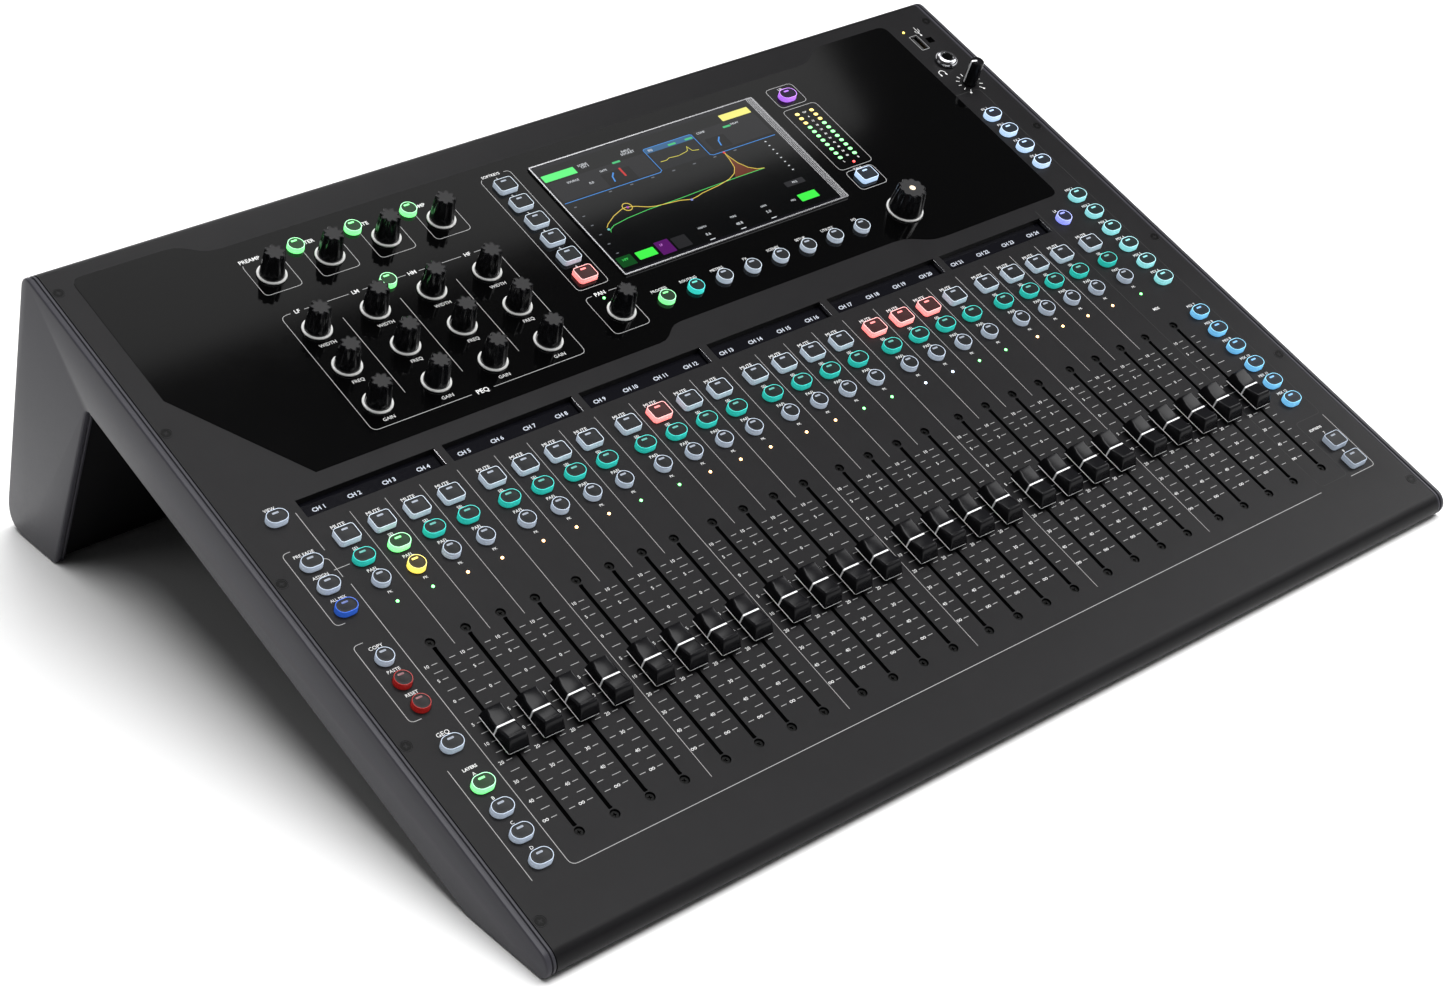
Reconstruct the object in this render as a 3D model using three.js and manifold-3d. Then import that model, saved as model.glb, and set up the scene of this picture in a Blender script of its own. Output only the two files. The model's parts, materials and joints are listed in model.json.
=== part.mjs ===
// A 24-channel digital mixing console: a sloping control deck between two moulded end cheeks, on a
// folded steel chassis whose tall rear foot holds the sockets and the power supply.
//
// Lengths are millimetres. The deck is modelled flat and then tilted, so most pieces are written in
// deck coordinates: x across the console, s up the slope from the lower row of fader screws, and n
// straight out of the deck, with n = 0 on the painted face of the top panel.

import * as THREE from "three";
import { mergeVertices } from "three/addons/utils/BufferGeometryUtils.js";
import Module from "manifold-3d";

const wasm = await Module();
wasm.setup();

// ---------------------------------------------------------------- driving dimensions

const overallWidth = 632;
const deckTilt = THREE.MathUtils.degToRad(20.8);
const deckHeight = 31.7; // table to the painted face, at the lower row of fader screws
const deckFront = -52.8; // s of the rolled front edge
const deckBack = 427.7; // s of the rolled back edge
const slabDepth = 34.8; // painted face to the underside between the front rest and the rear foot
const notchStart = 355.9; // s where the rear foot turns down from the underside
const footLean = THREE.MathUtils.degToRad(7); // the foot's front wall, off square to the deck
const backCornerRadius = 8.5;

const cheekThickness = 5.7;
const panelThickness = 2;
const chassisThickness = 1.5;
const fit = 0.3; // gap between pieces that meet
const panelLip = 16; // how far the top panel turns down at the back
const rearPanelTop = -12.5; // n of its upper edge, behind the top panel's lip
const rearFlange = 28; // the chassis turns up this far over the heel, under the rear panel

const overlayThickness = 1.2;
const overlayProud = 0.3;
const overlayLedge = 5; // the steel left under the overlay's edge
const overlay = {
  leftMargin: 19.8, // from the cheeks' outer faces
  rightMargin: 41.5,
  wingBottom: 242.3,
  middleBottom: 251.4,
  wingTop: 412.6,
  middleTop: 402,
  cutWidth: 43.6, // the straight cut across the lower-left corner
  cutTop: 317,
  corner: 6,
  frontSteps: [-33, -12, 147, 180], // x at both ends of each curved step in the front edge
  backSteps: [-241, -214, 195, 223],
};

const channelPitch = 20.7;
const channelsPerBank = 4;
const bankCount = 6;
const bankGap = 4.6;
const mainGap = 3.3;
const firstChannelInset = 25; // from the middle of the left column of keys

const faderTravel = 100;
const slotWidth = 3;
const slotStart = 3.3; // s of the slot's lower end
const slotSpare = 18.7; // slot length past the travel
const faderRest = 62.4; // s of every cap as it stands
const capLength = 25.6;
const capWidth = 12.1;
const capTopWidth = 9.4;
const capLift = 2.6; // base of the cap above the panel
const capFrontHeight = 10.8;
const capBackHeight = 10.2;
const capDishHeight = 8.6;
const stemWidth = 1.4;
const stemLength = 7;
const stemDepth = 5.7; // below the panel's underside
const stemRoom = 2; // left in the groove under a stem
const faderBodyWidth = 9.4;
const faderBodyEnd = 10.3; // how far a fader's body runs past its slot's screws
const faderBodyDepth = 16;

const keyHeight = 3.4; // key tops above the panel
const keyTravel = 1;
const keyHoleGap = 0.3;
const keyWebThickness = 1.2;
const squareKey = { width: 12, length: 10 };
const ovalKey = { width: 11.8, length: 8.6 };
const roundKey = { width: 9.4, length: 9.4 };
const keyPitch = 15.65; // up the side columns

const muteRow = 199.2;
const selectRow = 183.6;
const listenRow = 168;

const knobPitch = 36.3;
const knobRowPitch = 29.4;
const firstKnobX = -198.6;
const lowestKnobRow = 269.4;
const topKnobRow = 373.4;
const knobHeight = 17.2;
const knobRingRadius = 8.3;
const knobBaseRadius = 7;
const knobTopRadius = 5.8;
const shaftRadius = 3;
const shaftGap = 0.6;
const shaftStandoff = 0.4; // a shaft's end to the board
const knobSides = 8;

const panKnob = { x: -38.5, s: 271.5 };
const screenKnob = { x: 171.7, s: 270.5, ring: 11.3, base: 10.2, top: 8.5, height: 17.8 };
const phonesKnob = { outwards: 8.2, s: 346.7, radius: 4.7, height: 17.8 }; // from the right column

const screen = { left: -20.2, right: 146.2, bottom: 293, top: 388.8, proud: 1.8, depth: 7.5 };
const windowRow = { bottom: 218.2, top: 230.4 };
const windowInset = 0.45; // the window's end to the edge of its bank of channels
const windowDepth = 4;

const leftColumnInset = 29.1; // from the cheek's outer face to the middle of the side columns
const rightColumnInset = 32;

const jackHole = { outwards: 7.5, s: 369.5, radius: 4.8 };
const usbSlot = { outwards: 3, s: 390.6, width: 5.4, length: 12.9 };

const micSocketRadius = 11;
const micSocketPitch = 24.4;
const micSocketRow = -42; // n of the row of microphone sockets on the back wall
const lowerSocketRow = -92;
const socketSides = 6;
const mainOutX = [-268, -243];
const dataPortX = [-205, -183];
const dataPort = { width: 16, height: 14 };
const mainsInlet = { x: 262, width: 28, height: 20.5 };
const rocker = { x: 226, width: 13, height: 20, reach: 1.8 };
const rockerGap = 0.6;
const rockerPinInset = 3; // the paddle's pin, inside the back wall's outer face
const rockerTilt = THREE.MathUtils.degToRad(8); // each way; it stands switched on

const boardRoom = 3.9; // left under the keys when they are pressed
const boardThickness = 1.6;
const boardMargin = 9;
const boardSpacer = { width: 6, length: 8 }; // between the fader board and the key board
const supply = { left: 10, right: 180, depth: 42, top: -76, bottom: -150 };
const fanWell = { depth: 3, side: 8, ends: 22 };

const cutBelow = -12; // cutters for the deck's openings run from here
const cutAbove = 5; // to here

// ---------------------------------------------------------------- derived dimensions

const sinTilt = Math.sin(deckTilt);
const cosTilt = Math.cos(deckTilt);
const halfWidth = overallWidth / 2;
const panelEdge = halfWidth - cheekThickness - fit; // half the width of everything between the cheeks
const chassisInset = panelThickness + fit;
const channelCount = channelsPerBank * bankCount;
const bankPitch = channelsPerBank * channelPitch + bankGap;
const slotEnd = slotStart + faderTravel + slotSpare;
const keyWebTop = -panelThickness - fit;
const keyWebBottom = keyWebTop - keyWebThickness;
const boardTop = keyWebBottom - keyTravel - boardRoom;
const leftColumn = leftColumnInset - halfWidth;
const rightColumn = halfWidth - rightColumnInset;
const firstChannelX = leftColumn + firstChannelInset;
const windowWidth = channelsPerBank * channelPitch;
const shaftEnd = boardTop + shaftStandoff;
const stemReach = -panelThickness - stemDepth;
const phonesX = rightColumn + phonesKnob.outwards;
const jackX = rightColumn + jackHole.outwards;
const usbX = rightColumn + usbSlot.outwards;

// The front roll touches the top face, the front limit and the table.
const noseRadius = (deckHeight + deckFront * sinTilt) / (1 + cosTilt - sinTilt);

// n at which a line parallel to the table, lifted off it, crosses a given s.
function tableLine(s, lift) {
  return (lift - deckHeight - s * sinTilt) / cosTilt;
}

function windowLeft(bank) {
  return firstChannelX - channelPitch / 2 + windowInset + bank * bankPitch;
}

function channelX(index) {
  return firstChannelX + index * channelPitch + Math.floor(index / channelsPerBank) * bankGap;
}

const channelXs = Array.from({ length: channelCount }, (_, index) => channelX(index));
const mainX = channelX(channelCount) - bankGap + mainGap;
const faderXs = [...channelXs, mainX];

// ---------------------------------------------------------------- solids

function toSolid(geometry) {
  const bare = geometry.clone();
  bare.deleteAttribute("normal");
  bare.deleteAttribute("uv");
  const merged = mergeVertices(bare, 1e-4);
  return new wasm.Manifold(
    new wasm.Mesh({
      numProp: 3,
      vertProperties: merged.attributes.position.array,
      triVerts: new Uint32Array(merged.index.array),
    }),
  );
}

function toGeometry(solid) {
  const mesh = solid.getMesh();
  const geometry = new THREE.BufferGeometry();
  geometry.setAttribute("position", new THREE.BufferAttribute(mesh.vertProperties, 3));
  geometry.setIndex(new THREE.BufferAttribute(mesh.triVerts, 1));
  geometry.computeVertexNormals();
  return geometry;
}

function union(solids) {
  return wasm.Manifold.union(solids);
}

// A block between two corners, each given as [x, s, n].
function block([x0, s0, n0], [x1, s1, n1]) {
  const geometry = new THREE.BoxGeometry(x1 - x0, s1 - s0, n1 - n0);
  geometry.translate((x0 + x1) / 2, (s0 + s1) / 2, (n0 + n1) / 2);
  return toSolid(geometry);
}

// A flat outline in x and s, raised from one n to another.
function plate(shape, low, high) {
  const geometry = new THREE.ExtrudeGeometry(shape, {
    depth: high - low,
    bevelEnabled: false,
    curveSegments: 4,
  });
  geometry.translate(0, 0, low);
  return toSolid(geometry);
}

// A side profile in s and n, drawn across the console from one x to another.
function crosswise(points, left, right) {
  const geometry = new THREE.ExtrudeGeometry(new THREE.Shape(points), {
    depth: right - left,
    bevelEnabled: false,
  });
  const turn = new THREE.Matrix4().makeBasis(
    new THREE.Vector3(0, 1, 0),
    new THREE.Vector3(0, 0, 1),
    new THREE.Vector3(1, 0, 0),
  );
  geometry.applyMatrix4(turn);
  geometry.translate(left, 0, 0);
  return toSolid(geometry);
}

// An outline in x and n, drawn up the slope from one s to another.
function upslope(points, from, to) {
  const flipped = points.map((p) => new THREE.Vector2(-p.x, p.y));
  const geometry = new THREE.ExtrudeGeometry(new THREE.Shape(flipped), {
    depth: to - from,
    bevelEnabled: false,
  });
  const turn = new THREE.Matrix4().makeBasis(
    new THREE.Vector3(-1, 0, 0),
    new THREE.Vector3(0, 0, 1),
    new THREE.Vector3(0, 1, 0),
  );
  geometry.applyMatrix4(turn);
  geometry.translate(0, from, 0);
  return toSolid(geometry);
}

function polygonPoints(x, y, halfX, halfY, sides) {
  return Array.from({ length: sides }, (_, k) => {
    const angle = ((k + 0.5) / sides) * 2 * Math.PI;
    const grow = 1 / Math.cos(Math.PI / sides);
    return new THREE.Vector2(
      x + halfX * grow * Math.cos(angle),
      y + halfY * grow * Math.sin(angle),
    );
  });
}

function arcPoints(x, y, radius, fromDegrees, toDegrees, steps) {
  return Array.from({ length: steps + 1 }, (_, k) => {
    const angle = THREE.MathUtils.degToRad(
      fromDegrees + ((toDegrees - fromDegrees) * k) / steps,
    );
    return new THREE.Vector2(x + radius * Math.cos(angle), y + radius * Math.sin(angle));
  });
}

// Replaces the corner at b, between a and c, with a short arc.
function roundedCorner(a, b, c, radius, steps = 3) {
  const toA = a.clone().sub(b).normalize();
  const toC = c.clone().sub(b).normalize();
  const half = Math.acos(THREE.MathUtils.clamp(toA.dot(toC), -1, 1)) / 2;
  const cut = radius / Math.tan(half);
  const start = b.clone().addScaledVector(toA, cut);
  const end = b.clone().addScaledVector(toC, cut);
  return new THREE.QuadraticBezierCurve(start, b, end).getPoints(steps);
}

// ---------------------------------------------------------------- the side profile

// Corners of the console's side view, moved inwards by an inset.
function profileCorners(inset) {
  const underside = -(slabDepth - inset);
  const rest = (inset - deckHeight - underside * cosTilt) / sinTilt;
  const lean = Math.tan(footLean);
  const footFront = notchStart + inset / Math.cos(footLean);
  const toeS =
    (footFront - slabDepth * lean - (lean * (inset - deckHeight)) / cosTilt) /
    (1 - lean * (sinTilt / cosTilt));
  const back = deckBack - inset;
  return {
    rest: new THREE.Vector2(rest, underside),
    apex: new THREE.Vector2(footFront - (slabDepth + underside) * lean, underside),
    toe: new THREE.Vector2(toeS, tableLine(toeS, inset)),
    heel: new THREE.Vector2(back, tableLine(back, inset)),
    back,
  };
}

// The lower run of the profile: front rest, underside, foot and back wall, ending at backTop.
function lowerRun(inset, noseFrom, backTop, radii) {
  const corner = profileCorners(inset);
  const tableAngle = 270 - THREE.MathUtils.radToDeg(deckTilt);
  const nose = arcPoints(
    deckFront + noseRadius,
    -noseRadius,
    noseRadius - inset,
    noseFrom,
    tableAngle,
    4,
  );
  const top = new THREE.Vector2(corner.back, backTop);
  return [
    ...nose,
    corner.rest,
    ...roundedCorner(corner.rest, corner.apex, corner.toe, radii.apex),
    ...roundedCorner(corner.apex, corner.toe, corner.heel, radii.toe),
    ...roundedCorner(corner.toe, corner.heel, top, radii.heel),
    top,
  ];
}

// The upper run, from the front roll over the deck to the back, inset from the painted face.
function upperRun(inset, noseTo, backEnd) {
  const nose = arcPoints(
    deckFront + noseRadius,
    -noseRadius,
    noseRadius - inset,
    noseTo,
    90,
    6,
  );
  const back = arcPoints(
    deckBack - backCornerRadius,
    -backCornerRadius,
    backCornerRadius - inset,
    90,
    0,
    4,
  );
  return [...nose, ...back, new THREE.Vector2(deckBack - inset, backEnd)];
}

// ---------------------------------------------------------------- the controls' places

const eqBandXs = [0, 1, 2, 3].map((column) => firstKnobX + column * knobPitch);
const eqRows = [2, 1, 0].map((row) => lowestKnobRow + row * knobRowPitch);
const eqBands = ["low", "low_mid", "high_mid", "high"];
const eqActions = ["width", "freq", "gain"];
const topKnobNames = ["preamp_knob", "filter_knob", "gate_knob", "comp_knob"];

const smallKnobs = [
  ...topKnobNames.map((name, column) => ({ name, x: eqBandXs[column], s: topKnobRow })),
  ...eqBands.flatMap((band, column) =>
    eqActions.map((action, row) => ({
      name: `eq_${band}_${action}_knob`,
      x: eqBandXs[column],
      s: eqRows[row],
    })),
  ),
  { name: "pan_knob", ...panKnob },
];

function columnOfKeys(x, top, count, shape) {
  return Array.from({ length: count }, (_, k) => ({ x, s: top - k * keyPitch, shape }));
}

const switchX = eqBandXs.slice(0, 3).map((x) => x + 22.8);
const switchRow = 386.5;
const eqSwitch = { x: -144.6, s: 343.2, shape: roundKey };
const softColumn = -40.8;
const softTop = 381.4;
const screenKeyRow = 268.8;
const screenKeyStart = -8.7;
const libraryKey = { x: 169.1, s: 381.4, shape: ovalKey };
const talkKey = { x: 168.7, s: 303.5, shape: squareKey };
const mainMixKey = { x: mainX, s: 223.4, shape: roundKey };

const muteKeys = faderXs.map((x) => ({ x, s: muteRow, shape: squareKey }));
const selectKeys = faderXs.map((x) => ({ x, s: selectRow, shape: ovalKey }));
const listenKeys = faderXs.map((x) => ({ x, s: listenRow, shape: roundKey }));
const leftKeys = [
  { x: leftColumn, s: 223.6, shape: ovalKey },
  ...columnOfKeys(leftColumn, 191.5, 3, ovalKey),
  ...columnOfKeys(leftColumn, 126.2, 3, roundKey),
  { x: leftColumn, s: 68.5, shape: ovalKey },
  ...columnOfKeys(leftColumn, 42.7, 4, ovalKey),
];
const rightKeys = [
  ...columnOfKeys(rightColumn, 315.6, 4, ovalKey),
  mainMixKey,
  ...columnOfKeys(rightColumn, 235.3, 6, ovalKey),
  ...columnOfKeys(rightColumn, 125.2, 6, ovalKey),
  ...columnOfKeys(rightColumn, 11.1, 2, squareKey),
];
const upperKeys = [
  ...switchX.map((x) => ({ x, s: switchRow, shape: roundKey })),
  eqSwitch,
  ...columnOfKeys(softColumn, softTop, 6, squareKey),
  ...Array.from({ length: 8 }, (_, k) => ({
    x: screenKeyStart + k * channelPitch,
    s: screenKeyRow,
    shape: roundKey,
  })),
  libraryKey,
  talkKey,
];

function keySides(shape) {
  return shape === squareKey ? 4 : 6;
}

function keyOutline({ x, s, shape }, gap) {
  const halfX = shape.width / 2 + gap;
  const halfS = shape.length / 2 + gap;
  if (keySides(shape) === 4)
    return new THREE.Shape([
      new THREE.Vector2(x - halfX, s - halfS),
      new THREE.Vector2(x + halfX, s - halfS),
      new THREE.Vector2(x + halfX, s + halfS),
      new THREE.Vector2(x - halfX, s + halfS),
    ]);
  const point = shape === roundKey ? 0.5 : 0.62;
  return new THREE.Shape([
    new THREE.Vector2(x - halfX, s),
    new THREE.Vector2(x - halfX * point, s - halfS),
    new THREE.Vector2(x + halfX * point, s - halfS),
    new THREE.Vector2(x + halfX, s),
    new THREE.Vector2(x + halfX * point, s + halfS),
    new THREE.Vector2(x - halfX * point, s + halfS),
  ]);
}

function keyHoles(keys) {
  return keys.map((key) => plate(keyOutline(key, keyHoleGap), cutBelow, cutAbove));
}

function roundHole(x, s, radius) {
  const outline = new THREE.Shape(polygonPoints(x, s, radius, radius, 8));
  return plate(outline, cutBelow, cutAbove);
}

// ---------------------------------------------------------------- materials

function finish(color, roughness, metalness = 0) {
  return new THREE.MeshStandardMaterial({ color, roughness, metalness });
}

const deckPaint = finish(0x3a393c, 0.55);
const cheekPlastic = finish(0x45454c, 0.5);
const glossBlack = finish(0x101011, 0.12);
const capBlack = finish(0x161617, 0.25);
const keyPlastic = finish(0xb9c4d2, 0.35);
const zincSteel = finish(0x8b8d90, 0.4, 0.9);
const boardGreen = finish(0x1d5a3a, 0.6);
const screenGlass = finish(0x1a1b1f, 0.1);

// ---------------------------------------------------------------- fixed pieces

// The whole side view of the console, which both cheeks fill.
function cheekOutline() {
  const lower = lowerRun(0, 180, -backCornerRadius, { apex: 5, toe: 5, heel: 14 });
  const upper = upperRun(0, 180, -backCornerRadius).reverse().slice(2, -1);
  return [...lower, ...upper];
}

function cheek(left, right) {
  return crosswise(cheekOutline(), left, right);
}

// Lower-left corner cut, right wing, and the stepped edges of the gloss control overlay.
function overlayOutline(grow) {
  const { corner, frontSteps, backSteps } = overlay;
  const left = overlay.leftMargin - halfWidth - grow;
  const right = halfWidth - overlay.rightMargin + grow;
  const wingBottom = overlay.wingBottom - grow;
  const middleBottom = overlay.middleBottom - grow;
  const wingTop = overlay.wingTop + grow;
  const middleTop = overlay.middleTop + grow;
  const shape = new THREE.Shape();
  const step = (fromX, fromS, toX, toS) => {
    const middle = (fromX + toX) / 2;
    shape.lineTo(fromX, fromS);
    shape.bezierCurveTo(middle, fromS, middle, toS, toX, toS);
  };
  const turn = (x, s, fromX, fromS, toX, toS) => {
    shape.lineTo(x - fromX * corner, s - fromS * corner);
    shape.quadraticCurveTo(x, s, x + toX * corner, s + toS * corner);
  };
  shape.moveTo(left + overlay.cutWidth, wingBottom);
  step(frontSteps[0], wingBottom, frontSteps[1], middleBottom);
  step(frontSteps[2], middleBottom, frontSteps[3], wingBottom);
  turn(right, wingBottom, 1, 0, 0, 1);
  turn(right, wingTop, 0, 1, -1, 0);
  step(backSteps[3], wingTop, backSteps[2], middleTop);
  step(backSteps[1], middleTop, backSteps[0], wingTop);
  turn(left, wingTop, -1, 0, 0, -1);
  shape.lineTo(left, overlay.cutTop - grow);
  shape.closePath();
  return shape;
}

// The folded and painted steel panel: rolled front edge, flat deck, turned-down back edge.
function topPanel() {
  const outer = upperRun(0, 215, -panelLip);
  const inner = upperRun(panelThickness, 215, -panelLip).reverse();
  const sheet = crosswise([...outer, ...inner].reverse(), -panelEdge, panelEdge);
  const rebate = plate(overlayOutline(fit), -overlayThickness, cutAbove);
  const opening = plate(overlayOutline(-overlayLedge), cutBelow, cutAbove);
  const slots = faderXs.map((x) =>
    block([x - slotWidth / 2, slotStart, cutBelow], [x + slotWidth / 2, slotEnd, cutAbove]),
  );
  const windows = Array.from({ length: bankCount }, (_, bank) => {
    const left = windowLeft(bank);
    return block(
      [left, windowRow.bottom, cutBelow],
      [left + windowWidth, windowRow.top, cutAbove],
    );
  });
  const usb = block(
    [usbX - usbSlot.width / 2, usbSlot.s - usbSlot.length / 2, cutBelow],
    [usbX + usbSlot.width / 2, usbSlot.s + usbSlot.length / 2, cutAbove],
  );
  return sheet.subtract(
    union([
      rebate,
      opening,
      ...slots,
      ...windows,
      usb,
      roundHole(jackX, jackHole.s, jackHole.radius),
      roundHole(phonesX, phonesKnob.s, shaftRadius + shaftGap),
      ...keyHoles([...muteKeys, ...selectKeys, ...listenKeys, ...leftKeys, ...rightKeys]),
    ]),
  );
}

// The gloss overlay, seated in the panel's rebate.
function controlOverlay() {
  const sheet = plate(
    overlayOutline(0),
    -overlayThickness + fit,
    overlayProud,
  );
  const screenHole = block(
    [screen.left - fit, screen.bottom - fit, cutBelow],
    [screen.right + fit, screen.top + fit, cutAbove],
  );
  return sheet.subtract(
    union([
      screenHole,
      ...keyHoles(upperKeys),
      ...smallKnobs.map(({ x, s }) => roundHole(x, s, shaftRadius + shaftGap)),
      roundHole(screenKnob.x, screenKnob.s, shaftRadius + shaftGap),
    ]),
  );
}

// The touch display: a module with a bevelled frame round sunk glass.
function touchScreen() {
  const bevel = 2.2;
  const { left, right, bottom, top, proud, depth } = screen;
  const body = block([left, bottom, -depth], [right, top, proud]);
  const glassWell = block(
    [left + bevel, bottom + bevel, proud - 0.8],
    [right - bevel, top - bevel, proud + 1],
  );
  return body.subtract(glassWell);
}

// A cutter through the back wall: an outline in x and n.
function backWallCutter(points) {
  return upslope(points, deckBack - 20, deckBack + 5);
}

function backWallBox(x, n, width, height) {
  return backWallCutter([
    new THREE.Vector2(x - width / 2, n - height / 2),
    new THREE.Vector2(x + width / 2, n - height / 2),
    new THREE.Vector2(x + width / 2, n + height / 2),
    new THREE.Vector2(x - width / 2, n + height / 2),
  ]);
}

const micSocketXs = Array.from(
  { length: channelCount },
  (_, index) => (index - (channelCount - 1) / 2) * micSocketPitch,
);

function socketHole(x, n) {
  return backWallCutter(polygonPoints(x, n, micSocketRadius, micSocketRadius, socketSides));
}

// One folded sheet: front wall, floor, rear foot and the flange under the rear panel.
const flangeTop = profileCorners(chassisInset).heel.y + rearFlange;

function chassis() {
  const radii = { apex: 3, toe: 4, heel: 12 };
  const outer = lowerRun(chassisInset, 195, flangeTop, radii);
  const inner = lowerRun(chassisInset + chassisThickness, 195, flangeTop, radii).reverse();
  return crosswise([...outer, ...inner], -panelEdge, panelEdge);
}

// The flat plate that closes the rear foot, with a hole for each socket and the switch.
function rearPanel() {
  const outerFace = deckBack - chassisInset;
  const sheet = block(
    [-panelEdge, outerFace - chassisThickness, flangeTop + fit],
    [panelEdge, outerFace, rearPanelTop],
  );
  return sheet.subtract(
    union([
      ...micSocketXs.map((x) => socketHole(x, micSocketRow)),
      ...mainOutX.map((x) => socketHole(x, lowerSocketRow)),
      ...dataPortX.map((x) =>
        backWallBox(x, lowerSocketRow, dataPort.width, dataPort.height),
      ),
      backWallBox(mainsInlet.x, lowerSocketRow, mainsInlet.width, mainsInlet.height),
      backWallBox(
        rocker.x,
        lowerSocketRow,
        rocker.width + 2 * rockerGap,
        rocker.height + 2 * rockerGap,
      ),
    ]),
  );
}

// The boards under the deck, one solid: slide-fader bodies on the lower board, each with the groove
// that its cap's stem runs in, then spacers up to the key board, with the channel-name displays
// standing on it and posts up to the panel.
function controlBoards() {
  const bodyTop = -panelThickness - fit;
  const bodyBottom = bodyTop - faderBodyDepth;
  const bodyEnds = [-faderBodyEnd, slotEnd + faderBodyEnd];
  const bodies = faderXs.map((x) =>
    block(
      [x - faderBodyWidth / 2, bodyEnds[0], bodyBottom - 0.5],
      [x + faderBodyWidth / 2, bodyEnds[1], bodyTop],
    ),
  );
  const grooves = faderXs.map((x) =>
    block(
      [x - slotWidth / 2, slotStart, stemReach - stemRoom],
      [x + slotWidth / 2, slotEnd, bodyTop + 1],
    ),
  );
  const keyBoardFront = bodyEnds[1] + 3;
  const keyBoardBack = deckBack - 24;
  const keyBoardEdge = panelEdge - boardMargin;
  const spacerEnd = keyBoardFront + boardSpacer.length;
  const lowerBoard = block(
    [faderXs[0] - faderBodyWidth, bodyEnds[0] - 3, bodyBottom - boardThickness],
    [mainX + faderBodyWidth, spacerEnd, bodyBottom],
  );
  const keyBoard = block(
    [-keyBoardEdge, keyBoardFront, boardTop - boardThickness],
    [keyBoardEdge, keyBoardBack, boardTop],
  );
  const spacers = [faderXs[0], (faderXs[0] + mainX) / 2, mainX].map((x) =>
    block(
      [x - boardSpacer.width / 2, keyBoardFront, bodyBottom - 0.5],
      [x + boardSpacer.width / 2, spacerEnd, boardTop - 0.5],
    ),
  );
  const displays = Array.from({ length: bankCount }, (_, bank) => {
    const left = windowLeft(bank) + 1;
    return block(
      [left, windowRow.bottom - 2, boardTop - 0.5],
      [left + windowWidth - 2, windowRow.top + 1, -windowDepth],
    );
  });
  const posts = [4 - keyBoardEdge, keyBoardEdge - 4].flatMap((x) =>
    [windowRow.top + 22, keyBoardBack - 4].map((s) =>
      block([x - 3, s - 3, boardTop - 0.5], [x + 3, s + 3, bodyTop]),
    ),
  );
  const solid = union([lowerBoard, ...bodies, ...spacers, keyBoard, ...displays, ...posts]);
  return solid.subtract(union(grooves));
}

function powerSupply() {
  const back = deckBack - chassisInset - chassisThickness - fit;
  const box = block([supply.left, back - supply.depth, supply.bottom], [
    supply.right,
    back,
    supply.top,
  ]);
  const well = block(
    [supply.left - 1, back - supply.depth + fanWell.side, supply.bottom + fanWell.ends],
    [supply.left + fanWell.depth, back - fanWell.side, supply.top - fanWell.ends],
  );
  return box.subtract(well);
}

// ---------------------------------------------------------------- moving pieces

// Each moving piece is made about its own axis, then placed on the deck.

// A fader cap: sloping ends, a dished top between a tall front and back, and a stem in the slot.
function faderCap() {
  const half = capLength / 2;
  const frontCrest = new THREE.Vector2(-half + 4.3, capFrontHeight);
  const backCrest = new THREE.Vector2(half - 2, capBackHeight);
  const dish = new THREE.QuadraticBezierCurve(
    frontCrest,
    new THREE.Vector2(0, 2 * capDishHeight - (capFrontHeight + capBackHeight) / 2),
    backCrest,
  ).getPoints(4);
  const side = crosswise(
    [
      ...[...dish].reverse(),
      new THREE.Vector2(-half, capLift),
      new THREE.Vector2(half, capLift),
    ],
    -capWidth / 2,
    capWidth / 2,
  );
  const end = upslope(
    [
      new THREE.Vector2(-capWidth / 2, capLift),
      new THREE.Vector2(capWidth / 2, capLift),
      new THREE.Vector2(capTopWidth / 2, capFrontHeight + 1),
      new THREE.Vector2(-capTopWidth / 2, capFrontHeight + 1),
    ],
    -capLength,
    capLength,
  );
  const stem = block(
    [-stemWidth / 2, -stemLength / 2, stemReach],
    [stemWidth / 2, stemLength / 2, capLift + 1],
  );
  return side.intersect(end).add(stem);
}

// A knob with a ring at its foot, turned about the middle of its shaft.
function knob(ring, base, top, height) {
  const foot = overlayProud + fit;
  const profile = [
    [0, shaftEnd],
    [shaftRadius, shaftEnd],
    [shaftRadius, foot],
    [ring, foot],
    [ring, foot + 0.8],
    [base, foot + 0.8],
    [top, height],
    [0, height],
  ].map(([r, n]) => new THREE.Vector2(r, n));
  const geometry = new THREE.LatheGeometry(profile, knobSides);
  geometry.rotateX(Math.PI / 2);
  return toSolid(geometry);
}

// A plain slim knob, for the headphone level.
function slimKnob(radius, height) {
  const foot = 0.6;
  const profile = [
    [0, shaftEnd],
    [shaftRadius, shaftEnd],
    [shaftRadius, foot],
    [radius, foot],
    [radius * 0.92, height - 0.6],
    [radius * 0.8, height],
    [0, height],
  ].map(([r, n]) => new THREE.Vector2(r, n));
  const geometry = new THREE.LatheGeometry(profile, knobSides);
  geometry.rotateX(Math.PI / 2);
  return toSolid(geometry);
}

// A mat of keys: key tops on one springy web that lies under the panel.
function keyMat(keys, webs) {
  const tops = keys.map((key) => plate(keyOutline(key, 0), keyWebBottom, keyHeight));
  const web = webs.map(([x0, s0, x1, s1]) => block([x0, s0, keyWebBottom], [x1, s1, keyWebTop]));
  return union([...web, ...tops]);
}

function rowMat(keys, row) {
  const half = 3;
  const ends = [keys[0].x - half, keys[keys.length - 1].x + half];
  return keyMat(keys, [[ends[0], row - half, ends[1], row + half]]);
}

function leftMat() {
  const tops = leftKeys.map(({ s }) => s);
  return keyMat(leftKeys, [
    [leftColumn - 3.5, Math.min(...tops), leftColumn + 3.5, Math.max(...tops)],
  ]);
}

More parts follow.
